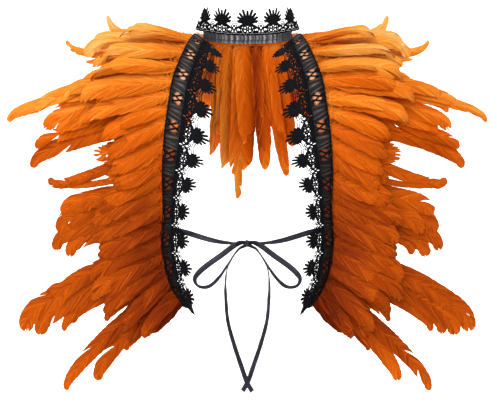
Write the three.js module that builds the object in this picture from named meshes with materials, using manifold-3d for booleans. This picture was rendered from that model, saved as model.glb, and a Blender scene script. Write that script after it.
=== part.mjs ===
// A feather cape: a lace collar and two long lace-edged front bands with feathers sewn along them,
// tied in front with a ribbon bow. It keeps the hollow form it has when it is worn.
// Millimetres, +Z up. The wearer looks along -Y, so the cape's right side has negative X.
// The origin is the centre of the neck opening, level with the lower edge of the neck tape.
import * as THREE from "three";
import { mergeVertices } from "three/addons/utils/BufferGeometryUtils.js";
import Module from "manifold-3d";

const wasm = await Module();
wasm.setup();

// Driving dimensions
const SEAM_GAP = 0.3;
const LACE_GAP = 0.8;
const NECK_HALF_WIDTH = 61;
const NECK_HALF_DEPTH = 58;
const TAPE_HEIGHT = 12;
const TAPE_WALL = 1.6;
const TAPE_WAVE = 0.7;
const TAPE_PLEATS = 22;
const TAPE_STITCHED_SHARE = 0.4;
const LACE_WALL = 1.4;
const BAND_WALL = 2;
const ROSETTE_HEIGHT = 1.5;
const TRIM_WIDTH = 60;
const BAND_WIDTH = 21;
const NET_WIDTH = 23;
const LACE_REPEAT = 38.7;
const COLLAR_REPEATS = 5;
const COLLAR_FLARE = 12;
const COLLAR_FLARE_REPEATS = 0.8;
const PALMETTE_SPIKES = 7;
const PALMETTE_REACH = 15.5;
const PALMETTE_VALLEY = 7.5;
const PALMETTE_WALL_SHARE = 0.9;
const STRIP_WIDTH = 4;
const STRIP_WALL = 2;
const QUILL_HALF_THICKNESS = 0.8;
const VANE_CUP = 0.09;
const STRIP_NEAR = 1;
const STRIP_OVERRUN = 5;
const STRIP_COLUMNS = 20;
const NECK_STRIP_HEIGHT = 4;
const FRONT_LEAD = 16;
const LOUVRE = 0.32;
const RIBBON_WIDTH = 7.5;
const RIBBON_THICKNESS = 1;
const RIBBON_STEP = 11;
const SLIVER = 0.1;
const SAME_POINT = 1e-4;

// Colours
const COLOUR = {
  black: 0x17161a,
  satin: 0x6d6a72,
  ribbon: 0x3d3c49,
  golden: 0xf59a2a,
  orange: 0xe8711a,
  burnt: 0xc4540f,
};

// The right front trim lies between two rails, from the side of the neck down to the waist.
const trimRails = [
  { outer: [-75, 15, 8], inner: [-33, -27, -22] },
  { outer: [-82, -18, -8], inner: [-35, -52, -40] },
  { outer: [-90, -42, -30], inner: [-38, -70, -62] },
  { outer: [-100, -65, -62], inner: [-42, -90, -92] },
  { outer: [-105, -82, -98], inner: [-47, -100, -126] },
  { outer: [-110, -86, -140], inner: [-52, -106, -163] },
  { outer: [-113, -80, -190], inner: [-64, -110, -199] },
  { outer: [-113, -64, -238], inner: [-76, -98, -242] },
  { outer: [-116, -50, -285], inner: [-77, -88, -289] },
  { outer: [-111, -42, -323], inner: [-73, -83, -325] },
  { outer: [-101, -40, -350], inner: [-71, -78, -356] },
  { outer: [-88, -48, -368], inner: [-71, -74, -380] },
];

// The front feathers lie on a drape over the shoulder and down the arm: its depth at each height.
const drape = [
  { height: 60, depth: 40 },
  { height: 0, depth: -4 },
  { height: -50, depth: -40 },
  { height: -100, depth: -64 },
  { height: -160, depth: -72 },
  { height: -240, depth: -54 },
  { height: -330, depth: -34 },
  { height: -500, depth: -24 },
];

// Feathers of the right side. They follow each other down the band, and each lies over the next.
// from: the root's height on the band's outer edge; tip: where it ends, across and up; wide: its
// vane; arch: how far its middle rises over the straight line; blunt: 0, pointed, to 1, round;
// back: how far behind the drape its tip lies, where that isn't 0.
const frontUnder = [
  { from: -6, tip: [-206, -10], wide: 34, arch: 4, blunt: 0.7 },
  { from: -20, tip: [-206, -36], wide: 36, arch: 4, blunt: 0.6 },
  { from: -34, tip: [-218, -62], wide: 36, arch: 4, blunt: 0.5 },
  { from: -48, tip: [-282, -98], wide: 34, arch: 8, blunt: 0.4 },
  { from: -61, tip: [-319, -116], wide: 26, arch: 10, blunt: 0.3 },
  { from: -75, tip: [-266, -122], wide: 34, arch: 8, blunt: 0.8 },
  { from: -90, tip: [-250, -130], wide: 30, arch: 7, blunt: 0.5, back: -4 },
  { from: -106, tip: [-281, -151], wide: 22, arch: 8, blunt: 0.7, back: 6 },
  { from: -122, tip: [-288, -177], wide: 24, arch: 14, blunt: 0.5, back: 8 },
  { from: -152, tip: [-266, -200], wide: 15, arch: -6, blunt: 0.8, back: 9 },
  { from: -172, tip: [-184, -197], wide: 28, arch: 3, blunt: 0.7 },
  { from: -189, tip: [-246, -206], wide: 8, arch: -2, blunt: 0, back: 6 },
  { from: -202, tip: [-184, -219], wide: 24, arch: 2, blunt: 0.8 },
  { from: -217, tip: [-246, -239], wide: 28, arch: 8, blunt: 0.8 },
  { from: -232, tip: [-250, -262], wide: 34, arch: 11, blunt: 0.9 },
  { from: -247, tip: [-260, -288], wide: 24, arch: 14, blunt: 0.7 },
  { from: -261, tip: [-242, -296], wide: 26, arch: 13, blunt: 0.7 },
  { from: -275, tip: [-200, -292], wide: 20, arch: 5, blunt: 0.4, back: 3 },
  { from: -289, tip: [-272, -356], wide: 24, arch: 2, blunt: 0.8 },
  { from: -301, tip: [-304, -397], wide: 32, arch: 16, blunt: 0.8 },
  { from: -312, tip: [-284, -403], wide: 28, arch: 16, blunt: 0.8 },
  { from: -322, tip: [-252, -402], wide: 22, arch: 14, blunt: 0.3, back: 3 },
  { from: -331, tip: [-194, -390], wide: 18, arch: 9, blunt: 0.3, back: 6 },
  { from: -340, tip: [-250, -484], wide: 22, arch: 14, blunt: 0.4, back: 4 },
  { from: -349, tip: [-207, -470], wide: 22, arch: 13, blunt: 0.7, back: 8 },
  { from: -357, tip: [-168, -432], wide: 18, arch: 8, blunt: 0.3, back: 16 },
  { from: -365, tip: [-132, -408], wide: 14, arch: 2, blunt: 0.3, back: 22 },
];
const frontOver = [
  { from: 0, tip: [-172, 4], wide: 32, arch: 5, blunt: 0.7 },
  { from: -20, tip: [-196, -26], wide: 36, arch: 6, blunt: 0.6 },
  { from: -41, tip: [-206, -58], wide: 38, arch: 8, blunt: 0.6 },
  { from: -63, tip: [-220, -90], wide: 38, arch: 9, blunt: 0.5 },
  { from: -85, tip: [-210, -117], wide: 34, arch: 7, blunt: 0.5 },
  { from: -107, tip: [-190, -142], wide: 32, arch: 6, blunt: 0.5 },
  { from: -129, tip: [-182, -166], wide: 30, arch: 5, blunt: 0.5 },
  { from: -151, tip: [-178, -187], wide: 30, arch: 4, blunt: 0.5 },
  { from: -173, tip: [-177, -208], wide: 30, arch: 3, blunt: 0.5 },
  { from: -195, tip: [-190, -232], wide: 32, arch: 5, blunt: 0.6 },
  { from: -217, tip: [-202, -257], wide: 32, arch: 7, blunt: 0.6 },
  { from: -239, tip: [-200, -281], wide: 30, arch: 8, blunt: 0.5 },
  { from: -261, tip: [-196, -304], wide: 30, arch: 8, blunt: 0.6 },
  { from: -282, tip: [-206, -332], wide: 32, arch: 10, blunt: 0.6 },
  { from: -302, tip: [-206, -358], wide: 32, arch: 11, blunt: 0.5 },
  { from: -320, tip: [-190, -378], wide: 28, arch: 10, blunt: 0.5 },
  { from: -338, tip: [-168, -402], wide: 24, arch: 8, blunt: 0.5 },
  { from: -354, tip: [-142, -412], wide: 20, arch: 5, blunt: 0.4 },
];

// The shoulder fan leaves the neck side behind the collar's end.
// turn: degrees round the neck from the right side, where the root is; tip: across, back and up.
const shoulder = [
  { turn: 18, tip: [-170, 12, -8], wide: 28, arch: 6, blunt: 0.7 },
  { turn: 22.5, tip: [-224, 18, -16], wide: 32, arch: 8, blunt: 0.6 },
  { turn: 27, tip: [-256, 26, -2], wide: 18, arch: -26, blunt: 0 },
  { turn: 31.5, tip: [-215, 40, 6], wide: 36, arch: 0, blunt: 0.9 },
  { turn: 36, tip: [-201, 56, 36], wide: 28, arch: -14, blunt: 0.1 },
  { turn: 40.5, tip: [-146, 62, 12], wide: 26, arch: 2, blunt: 0.8 },
  { turn: 45, tip: [-180, 84, -30], wide: 34, arch: 14, blunt: 0.6 },
];

// Feathers that hang behind the neck, from the right side to the left.
const backLong = [
  { turn: 34, tip: [-150, 96, -88], wide: 36, arch: 14, blunt: 0.6 },
  { turn: 46, tip: [-96, 100, -120], wide: 36, arch: 10, blunt: 0.5 },
  { turn: 56, tip: [-52, 103, -150], wide: 38, arch: 4, blunt: 0.5 },
  { turn: 66, tip: [-34, 106, -172], wide: 34, arch: 0, blunt: 0.5 },
  { turn: 75, tip: [-14, 118, -222], wide: 16, arch: 0, blunt: 0.3 },
  { turn: 86, tip: [-12, 108, -178], wide: 40, arch: 0, blunt: 0.9 },
  { turn: 101, tip: [27, 108, -177], wide: 22, arch: 0, blunt: 0.4 },
  { turn: 112, tip: [58, 109, -187], wide: 18, arch: 2, blunt: 0.4 },
  { turn: 123, tip: [66, 105, -140], wide: 26, arch: 4, blunt: 0.6 },
  { turn: 134, tip: [110, 102, -128], wide: 36, arch: 8, blunt: 0.5 },
  { turn: 146, tip: [160, 98, -90], wide: 36, arch: 14, blunt: 0.6 },
];
const backShort = [
  { turn: 52, tip: [-108, 124, -72], wide: 36, arch: 12, blunt: 0.7 },
  { turn: 65, tip: [-68, 128, -92], wide: 36, arch: 8, blunt: 0.7 },
  { turn: 78, tip: [-30, 130, -104], wide: 36, arch: 6, blunt: 0.6 },
  { turn: 90, tip: [2, 132, -98], wide: 36, arch: 6, blunt: 0.7 },
  { turn: 102, tip: [34, 132, -106], wide: 36, arch: 6, blunt: 0.6 },
  { turn: 115, tip: [70, 130, -92], wide: 36, arch: 8, blunt: 0.7 },
  { turn: 128, tip: [108, 128, -72], wide: 36, arch: 12, blunt: 0.7 },
];

// The right ribbon: from behind the band to the knot, round the loop and down the tail.
const KNOT_CENTRE = [0, -113, -283];
const KNOT_SIZE = [10, 14, 12];
const ribbonRoutes = {
  strand: [
    [-104.6, -61.3, -265.8], [-94.2, -71.2, -267.2], [-81.4, -83, -269.6], [-73, -91, -271.8],
    [-62, -96.8, -275], [-48, -102, -278.8], [-33, -106.5, -281.5], [-17, -108.6, -282.8],
    [-4.6, -108.8, -282.5],
  ],
  loop: [
    [-5.5, -114.3, -281.8], [-12, -115, -283], [-20, -115.4, -287.5], [-33.5, -115.6, -297.8],
    [-53.4, -116, -312], [-64, -117, -321.5], [-68.5, -119, -329], [-65.5, -121, -336.5],
    [-57.3, -122, -339.5], [-47.5, -122, -336.9], [-35.8, -121.5, -325.2], [-25.4, -120.5, -309.5],
    [-17, -119.4, -296.5], [-10.8, -118.4, -289.2], [-4.8, -117.6, -286.5],
  ],
  tail: [
    [-5.9, -111.6, -287.4], [-12, -112.8, -291.5], [-19.5, -114.5, -302], [-26.4, -116, -317.3],
    [-28.4, -117, -336], [-28, -117, -353.8], [-25.4, -116.5, -383.7], [-17.6, -116.5, -413.7],
    [-7.2, -117, -444.9], [-0.7, -117, -463.2], [6.4, -117, -475.9],
  ],
};
const LEFT_TAIL_SETBACK = 5;

// Small helpers
function vector(numbers) {
  return new THREE.Vector3(...numbers);
}

function geometryOf(points, faces) {
  const geometry = new THREE.BufferGeometry();
  const flat = points.flatMap((point) => [point.x, point.y, point.z]);
  geometry.setAttribute("position", new THREE.Float32BufferAttribute(flat, 3));
  geometry.setIndex(faces.flat());
  return geometry;
}

function signedVolume(geometry) {
  const place = geometry.getAttribute("position");
  const corner = [new THREE.Vector3(), new THREE.Vector3(), new THREE.Vector3()];
  let volume = 0;
  for (let i = 0; i < geometry.index.count; i += 3) {
    corner.forEach((point, k) => point.fromBufferAttribute(place, geometry.index.getX(i + k)));
    volume += corner[0].dot(corner[1].clone().cross(corner[2])) / 6;
  }
  return volume;
}

// Turns a closed shape's faces outwards.
function outward(geometry) {
  if (signedVolume(geometry) > 0) return geometry;
  const turned = [];
  for (let i = 0; i < geometry.index.count; i += 3) {
    turned.push(geometry.index.getX(i), geometry.index.getX(i + 2), geometry.index.getX(i + 1));
  }
  geometry.setIndex(turned);
  return geometry;
}

function mirrored(geometry) {
  const copy = geometry.clone();
  copy.scale(-1, 1, 1);
  return outward(copy);
}

function solidOf(geometry) {
  const merged = mergeVertices(geometry, SAME_POINT);
  return new wasm.Manifold(
    new wasm.Mesh({
      numProp: 3,
      vertProperties: Float32Array.from(merged.getAttribute("position").array),
      triVerts: Uint32Array.from(merged.index.array),
    }),
  );
}

function fused(geometries) {
  const joined = wasm.Manifold.union(geometries.map(solidOf)).simplify(SLIVER);
  const mesh = joined.getMesh();
  const geometry = new THREE.BufferGeometry();
  geometry.setAttribute("position", new THREE.Float32BufferAttribute(mesh.vertProperties, 3));
  geometry.setIndex(Array.from(mesh.triVerts));
  return geometry;
}

// A smooth line through a table's points, measured along its length.
function railThrough(points) {
  return new THREE.CatmullRomCurve3(points.map(vector), false, "catmullrom", 0.5);
}

// A wall worked out on a grid. place(column, row, side) gives its two faces, for side 1 and -1,
// and open(column, row) says which cells are cut away.
function wall(columns, rows, place, open = () => false) {
  const points = [];
  const faces = [];
  const index = (column, row, side) => 2 * (column * (rows + 1) + row) + (side > 0 ? 0 : 1);
  for (let column = 0; column <= columns; column++) {
    for (let row = 0; row <= rows; row++) {
      points.push(place(column, row, 1), place(column, row, -1));
    }
  }
  const isFull = (column, row) =>
    column >= 0 && row >= 0 && column < columns && row < rows && !open(column, row);
  const addEdge = (from, to) => {
    const [a, b] = [index(...from, 1), index(...to, 1)];
    const [c, d] = [index(...from, -1), index(...to, -1)];
    faces.push([a, d, b], [a, c, d]);
  };
  for (let column = 0; column < columns; column++) {
    for (let row = 0; row < rows; row++) {
      if (!isFull(column, row)) continue;
      const corners = [[column, row], [column + 1, row], [column + 1, row + 1], [column, row + 1]];
      const front = corners.map((corner) => index(...corner, 1));
      const back = corners.map((corner) => index(...corner, -1));
      faces.push([front[0], front[1], front[2]], [front[0], front[2], front[3]]);
      faces.push([back[0], back[2], back[1]], [back[0], back[3], back[2]]);
      if (!isFull(column, row - 1)) addEdge(corners[0], corners[1]);
      if (!isFull(column + 1, row)) addEdge(corners[1], corners[2]);
      if (!isFull(column, row + 1)) addEdge(corners[2], corners[3]);
      if (!isFull(column - 1, row)) addEdge(corners[3], corners[0]);
    }
  }
  const geometry = geometryOf(points, faces);
  const used = mergeVertices(geometry.toNonIndexed(), SAME_POINT);
  return outward(used);
}

// A flat outline laid on a surface, from the depth low to the depth high.
function plateOn(surface, drawn, low, high) {
  const asShape = (list) => list.map(([along, across]) => new THREE.Vector2(along, across));
  const outline = THREE.ShapeUtils.isClockWise(asShape(drawn)) ? drawn.toReversed() : drawn;
  const shape = asShape(outline);
  const triangles = THREE.ShapeUtils.triangulateShape(shape, []);
  const count = shape.length;
  const points = [high, low].flatMap((depth) =>
    outline.map(([along, across]) => surface(along, across, depth)));
  const faces = triangles.flatMap(([a, b, c]) => [[a, b, c], [a + count, c + count, b + count]]);
  for (let i = 0; i < count; i++) {
    const next = (i + 1) % count;
    faces.push([i, i + count, next + count], [i, next + count, next]);
  }
  return outward(geometryOf(points, faces));
}

// Surfaces. Each takes a length along the trim, a width across it and a depth off its middle.
const outerRail = railThrough(trimRails.map((row) => row.outer));
const innerRail = railThrough(trimRails.map((row) => row.inner));
const RAIL_LENGTH = outerRail.getLength();

function trimSurface(along, across, depth) {
  const share = THREE.MathUtils.clamp(along / RAIL_LENGTH, 0, 1);
  const outer = outerRail.getPointAt(share);
  const step = innerRail.getPoint(outerRail.getUtoTmapping(share)).sub(outer);
  const normal = outerRail.getTangentAt(share).cross(step).normalize();
  return outer.addScaledVector(step, across / TRIM_WIDTH).addScaledVector(normal, depth);
}

// Round the neck: turn 0 is the right side, a quarter turn is the middle of the back.
function neckPoint(turn, height, out) {
  const direction = new THREE.Vector3(-Math.cos(turn), Math.sin(turn), 0);
  return new THREE.Vector3(
    direction.x * (NECK_HALF_WIDTH + out),
    direction.y * (NECK_HALF_DEPTH + out),
    height,
  );
}

function collarSurface(along, across, depth) {
  const radius = (NECK_HALF_WIDTH + NECK_HALF_DEPTH) / 2;
  const turn = Math.PI / 2 + (along - (COLLAR_REPEATS * LACE_REPEAT) / 2) / radius;
  const fromEnd = Math.min(along, COLLAR_REPEATS * LACE_REPEAT - along) / LACE_REPEAT;
  const low = 1 - (across - BAND_WIDTH) / (TRIM_WIDTH - BAND_WIDTH);
  const flare = COLLAR_FLARE * Math.max(0, 1 - fromEnd / COLLAR_FLARE_REPEATS) * Math.max(0, low);
  return neckPoint(turn, TAPE_HEIGHT - BAND_WIDTH + across, flare + depth);
}

// Lace. One repeat has six columns. Its rows across the net hold a cord, two scroll holes, a bar,
// and the palmette's two feet with a hole between them.
const NET_COLUMNS = 6;
const netRows = [0, 3.2, 10.2, 13.2, 20];
const netShape = ["######", "#.##.#", "######", ".#..#."];

function palmetteOutline(along) {
  const base = BAND_WIDTH + netRows.at(-1) - 2;
  const foot = 12;
  const outline = [[along + foot, base], [along - foot, base]];
  const steps = 2 * PALMETTE_SPIKES;
  for (let i = 1; i < steps; i++) {
    const angle = Math.PI * (1 - i / steps);
    const reach = i % 2 ? PALMETTE_REACH : PALMETTE_VALLEY;
    outline.push([
      along + (reach + 1) * 0.86 * Math.cos(angle),
      base + 3 + reach * Math.sin(angle),
    ]);
  }
  return outline;
}

function laceOn(surface, repeats, repeat) {
  const half = LACE_WALL / 2;
  const inner = half * PALMETTE_WALL_SHARE;
  const place = (column, row, side) => {
    const along = (column * repeat) / NET_COLUMNS;
    return surface(along, BAND_WIDTH + LACE_GAP + netRows[row], side * half);
  };
  const open = (column, row) => netShape[row][column % NET_COLUMNS] === ".";
  const pieces = [wall(repeats * NET_COLUMNS, netRows.length - 1, place, open)];
  for (let i = 0; i < repeats; i++) {
    pieces.push(plateOn(surface, palmetteOutline((i + 0.5) * repeat), -inner, inner));
  }
  return fused(pieces);
}

// The band is gathered into a row of rosettes, one for each lace repeat, raised over a plain back.
const TRIM_REPEATS = 11;
const TRIM_REPEAT = RAIL_LENGTH / TRIM_REPEATS;
const bandRows = [0, BAND_WIDTH / 2, BAND_WIDTH];
const bandSwell = [0, 1, 0];

function frontBand() {
  const columns = TRIM_REPEATS * 3;
  const place = (column, row, side) => {
    const along = (column * TRIM_REPEAT) / 3;
    const rosette = column % 3 === 1 ? ROSETTE_HEIGHT * bandSwell[row] : 0;
    return trimSurface(along, bandRows[row], side > 0 ? BAND_WALL / 2 + rosette : -BAND_WALL / 2);
  };
  return wall(columns, bandRows.length - 1, place);
}

// The tape runs half round the neck and a little over, in radians at each end.
const TAPE_END_TURN = 0.06;

function neckTape() {
  const columns = TAPE_PLEATS * 2;
  return wall(columns, 2, (column, row, side) => {
    const turn = THREE.MathUtils.lerp(-TAPE_END_TURN, Math.PI + TAPE_END_TURN, column / columns);
    const gathered = row === 2 ? TAPE_STITCHED_SHARE : 1;
    const wave = (column % 2 ? TAPE_WAVE : -TAPE_WAVE) * gathered;
    return neckPoint(turn, (TAPE_HEIGHT * row) / 2, wave + (side * TAPE_WALL) / 2);
  });
}

// One feather: a quill with a cupped vane, four-sided, on a curve from its root to its tip.
const vaneStations = [0, 0.14, 0.36, 0.62, 0.86, 1];
const pointedVane = [0.06, 0.3, 0.88, 0.96, 0.5, 0.05];
const bluntVane = [0.06, 0.3, 0.88, 1, 0.86, 0.36];

function feather(root, lead, tip, row, facing, swell) {
  const middle = root.clone().lerp(tip, 0.5).add(swell);
  middle.z += row.arch;
  const control = middle.multiplyScalar(8 / 3).addScaledVector(lead, -1)
    .addScaledVector(root, -1 / 3).addScaledVector(tip, -1 / 3);
  const curve = new THREE.CubicBezierCurve3(root, lead, control, tip);
  const points = [];
  const faces = [];
  vaneStations.forEach((share, station) => {
    const centre = curve.getPoint(share);
    const across = curve.getTangent(share).cross(facing).normalize();
    const normal = across.clone().cross(curve.getTangent(share)).normalize();
    const breadth = THREE.MathUtils.lerp(pointedVane[station], bluntVane[station], row.blunt);
    const half = (row.wide / 2) * breadth;
    const thick = QUILL_HALF_THICKNESS * (1.15 - 0.6 * share);
    const cup = -VANE_CUP * 2 * half;
    points.push(centre.clone().addScaledVector(across, half).addScaledVector(normal, cup));
    points.push(centre.clone().addScaledVector(normal, thick));
    points.push(centre.clone().addScaledVector(across, -half).addScaledVector(normal, cup));
    points.push(centre.clone().addScaledVector(normal, -thick));
  });
  for (let station = 0; station < vaneStations.length - 1; station++) {
    for (let side = 0; side < 4; side++) {
      const a = 4 * station + side;
      const b = 4 * station + ((side + 1) % 4);
      faces.push([a, b, b + 4], [a, b + 4, a + 4]);
    }
  }
  const last = 4 * (vaneStations.length - 1);
  faces.push([1, 0, 3], [1, 3, 2], [last + 1, last + 3, last], [last + 1, last + 2, last + 3]);
  return outward(geometryOf(points, faces));
}

// The drape's depth at a height, and its slope over a feather's width there.
function drapeDepth(height) {
  const next = Math.max(1, drape.findIndex((row) => row.height <= height));
  const low = drape[next];
  const high = drape[next - 1];
  const share = (height - low.height) / (high.height - low.height);
  return THREE.MathUtils.lerp(low.depth, high.depth, share);
}

function drapeSlope(height) {
  const reach = 35;
  return (drapeDepth(height + reach) - drapeDepth(height - reach)) / (2 * reach);
}

// How far down the outer rail a height is, in millimetres.
function railDropAt(height) {
  let low = 0;
  let high = RAIL_LENGTH;
  for (let halving = 0; halving < 30; halving++) {
    const middle = (low + high) / 2;
    if (outerRail.getPointAt(middle / RAIL_LENGTH).z > height) low = middle;
    else high = middle;
  }
  return low;
}

// A row of feathers behind the band, fused by their roots to a narrow strip.
function frontFeathers(table, row) {
  const across = STRIP_NEAR + STRIP_WIDTH / 2;
  return table.map((feathered) => {
    const drop = railDropAt(feathered.from);
    const root = trimSurface(drop, across, row.stripDepth);
    const outwards = trimSurface(drop, across - 1, row.stripDepth).sub(root).normalize();
    const under = trimSurface(drop, across, row.stripDepth - row.dive);
    const lead = under.addScaledVector(outwards, FRONT_LEAD);
    const [x, z] = feathered.tip;
    const tip = new THREE.Vector3(x, drapeDepth(z) - row.lift + (feathered.back ?? 0), z);
    const angle = Math.atan(drapeSlope((root.z + z) / 2)) + LOUVRE;
    const facing = new THREE.Vector3(0, -Math.cos(angle), Math.sin(angle));
    return feather(root, lead, tip, feathered, facing, new THREE.Vector3(0, -row.swell, 0));
  });
}

function frontRow(table, row) {
  const first = Math.max(0, railDropAt(table[0].from) - STRIP_OVERRUN);
  const last = Math.min(railDropAt(table.at(-1).from) + STRIP_OVERRUN, RAIL_LENGTH - 2);
  const columns = STRIP_COLUMNS;
  const strip = wall(columns, 1, (column, edge, side) =>
    trimSurface(
      THREE.MathUtils.lerp(first, last, column / columns),
      STRIP_NEAR + STRIP_WIDTH * edge,
      row.stripDepth + (side * STRIP_WALL) / 2,
    ));
  return fused([strip, ...frontFeathers(table, row)]);
}

// A row of feathers round the outside of the neck tape.
const NECK_STRIP_OUT = TAPE_WALL / 2 + TAPE_WAVE + SEAM_GAP + STRIP_WALL / 2;

function neckFeathers(table, row) {
  return table.map((feathered) => {
    const turn = THREE.MathUtils.degToRad(feathered.turn);
    const radial = new THREE.Vector3(-Math.cos(turn), Math.sin(turn), 0);
    const root = neckPoint(turn, row.height, NECK_STRIP_OUT);
    const lead = root.clone().addScaledVector(radial, row.lead);
    lead.z += row.rise;
    const swell = radial.clone().multiplyScalar(row.swell);
    return feather(root, lead, vector(feathered.tip), feathered, row.facing(turn), swell);
  });
}

// The same row turned over to the left side.
function turnedOver(table) {
  return table.toReversed().map((row) => {
    const [x, y, z] = row.tip;
    return { ...row, turn: 180 - row.turn, tip: [-x, y, z] };
  });
}

// One strip round the neck, with all the feathers that are sewn to it.
const STRIP_END_TURN = 0.05;

function neckStrip(height, groups) {
  const turns = groups.flatMap(([table]) => table.map((row) => THREE.MathUtils.degToRad(row.turn)));
  const first = Math.min(...turns) - STRIP_END_TURN;
  const last = Math.max(...turns) + STRIP_END_TURN;
  const columns = turns.length + 4;
  const strip = wall(columns, 1, (column, edge, side) =>
    neckPoint(
      THREE.MathUtils.lerp(first, last, column / columns),
      height + (edge - 0.5) * NECK_STRIP_HEIGHT,
      NECK_STRIP_OUT + (side * STRIP_WALL) / 2,
    ));
  return fused([strip, ...groups.flatMap(([table, row]) => neckFeathers(table, row))]);
}

// Ribbon: a flat strip along its route, its face towards the front.
function ribbon(route) {
  const curve = railThrough(route);
  const steps = Math.max(12, Math.round(curve.getLength() / RIBBON_STEP));
  return wall(steps, 1, (column, row, side) => {
    const centre = curve.getPointAt(column / steps);
    const tangent = curve.getTangentAt(column / steps);
    const across = tangent.clone().cross(new THREE.Vector3(0, -1, 0)).normalize();
    const normal = across.clone().cross(tangent).normalize();
    return centre
      .addScaledVector(across, (row - 0.5) * RIBBON_WIDTH)
      .addScaledVector(normal, (side * RIBBON_THICKNESS) / 2);
  });
}

function knot() {
  const geometry = new THREE.CylinderGeometry(0.5, 0.5, 1, 12);
  geometry.deleteAttribute("normal");
  geometry.deleteAttribute("uv");
  geometry.rotateX(Math.PI / 2);
  geometry.scale(...KNOT_SIZE);
  geometry.translate(...KNOT_CENTRE);
  return mergeVertices(geometry, SAME_POINT);
}

// The cape
const cape = new THREE.Group();

function add(name, geometry, colour, roughness) {
  const material = new THREE.MeshStandardMaterial({ color: colour, roughness, metalness: 0 });
  const mesh = new THREE.Mesh(geometry, material);
  mesh.name = name;
  cape.add(mesh);
}

function addPair(name, geometry, colour, roughness) {
  add(name + "_right", geometry, colour, roughness);
  add(name + "_left", mirrored(geometry), colour, roughness);
}

add("neck_tape", neckTape(), COLOUR.satin, 0.45);
add("collar_lace", laceOn(collarSurface, COLLAR_REPEATS, LACE_REPEAT), COLOUR.black, 0.8);
addPair("front_band", frontBand(), COLOUR.black, 0.7);
addPair("front_lace", laceOn(trimSurface, TRIM_REPEATS, TRIM_REPEAT), COLOUR.black, 0.8);

const OVER_DEPTH = -(BAND_WALL / 2 + 2 * SEAM_GAP + STRIP_WALL / 2);
const UNDER_DEPTH = OVER_DEPTH - STRIP_WALL - 2 * SEAM_GAP;
const overRow = { stripDepth: OVER_DEPTH, lift: 22, swell: 4, dive: 7.6 };
const underRow = { stripDepth: UNDER_DEPTH, lift: 0, swell: -4, dive: 11 };
addPair("feathers_front_over", frontRow(frontOver, overRow), COLOUR.orange, 0.6);
addPair("feathers_front_under", frontRow(frontUnder, underRow), COLOUR.burnt, 0.6);

function facingUp() {
  return new THREE.Vector3(0, -0.8, 0.6);
}
function facingAway(turn) {
  return new THREE.Vector3(-Math.cos(turn - LOUVRE), Math.sin(turn - LOUVRE), 0.3);
}
const shoulderRow = { height: 6, lead: 14, rise: 2, swell: 0, facing: facingUp };
const longRow = { height: 0, lead: 8, rise: -4, swell: 0, facing: facingAway };
const shortRow = { height: 6, lead: 20, rise: 2, swell: 6, facing: facingAway };
const upperGroups = [[shoulder, shoulderRow], [backShort, shortRow], [turnedOver(shoulder), shoulderRow]];
add("feathers_neck_upper", neckStrip(shortRow.height, upperGroups), COLOUR.golden, 0.6);
add("feathers_neck_lower", neckStrip(longRow.height, [[backLong, longRow]]), COLOUR.orange, 0.6);

add("ribbon_knot", knot(), COLOUR.ribbon, 0.4);
for (const [piece, route] of Object.entries(ribbonRoutes)) {
  add("ribbon_" + piece + "_right", ribbon(route), COLOUR.ribbon, 0.4);
  const setback = piece === "tail" ? LEFT_TAIL_SETBACK : 0;
  const leftRoute = route.map(([x, y, z], i) => [-x, y + setback * Math.min(1, i / 4), z]);
  add("ribbon_" + piece + "_left", ribbon(leftRoute), COLOUR.ribbon, 0.4);
}

export default cape;
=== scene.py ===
"""The looks of the feather cape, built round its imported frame. Metres, +Z up, the wearer looks along -Y."""

import math

import bpy
import numpy as np
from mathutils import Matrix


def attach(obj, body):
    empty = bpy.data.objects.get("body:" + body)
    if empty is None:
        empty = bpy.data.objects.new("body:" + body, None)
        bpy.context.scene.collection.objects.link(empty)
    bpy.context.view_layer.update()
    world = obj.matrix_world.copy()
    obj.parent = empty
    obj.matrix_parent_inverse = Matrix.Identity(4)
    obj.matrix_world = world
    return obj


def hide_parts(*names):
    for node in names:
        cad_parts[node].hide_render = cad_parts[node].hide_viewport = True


bl_info = {
    "name": "Feather cape",
    "version": (1, 0, 0),
    "blender": (4, 5, 0),
    "location": "View3D > Sidebar > Cape",
    "description": "Feathers, lace, gathered bands and ribbon tie of a feather cape",
    "category": "Object",
}

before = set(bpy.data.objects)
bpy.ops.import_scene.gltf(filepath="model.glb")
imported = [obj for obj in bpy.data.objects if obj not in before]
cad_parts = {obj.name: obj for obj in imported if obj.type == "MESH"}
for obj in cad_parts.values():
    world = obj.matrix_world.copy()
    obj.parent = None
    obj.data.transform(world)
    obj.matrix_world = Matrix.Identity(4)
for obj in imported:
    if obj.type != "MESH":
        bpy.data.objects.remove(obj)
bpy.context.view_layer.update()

# Sizes, in millimetres unless a name says otherwise
MM = 0.001
NECK_HALF_WIDTH = 61
NECK_HALF_DEPTH = 58
TAPE_HEIGHT = 12
BAND_WIDTH = 21
TRIM_WIDTH = 60
LACE_START = 21.8
COLLAR_REPEATS = 5
COLLAR_REPEAT = 38.7
COLLAR_FLARE = 12
COLLAR_FLARE_SPAN = 0.8
COLLAR_END_DROP = 5
TRIM_REPEATS = 11
STRIP_MIDDLE = 3
FRONT_LEAD = 16
LOUVRE = 0.32
NECK_STRIP_OUT = 2.8
OVER_DEPTH = -2.6
UNDER_DEPTH = -5.2
LEFT_TAIL_SETBACK = 5
SETBACK_POINTS = 4
KNOT_CENTRE = (0, -113, -283)
KNOT_HALF_SIZE = (4.2, 6.4, 4.8)

# The wearer's right side and left side
SIDES = ((-1, "right"), (1, "left"))

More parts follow.
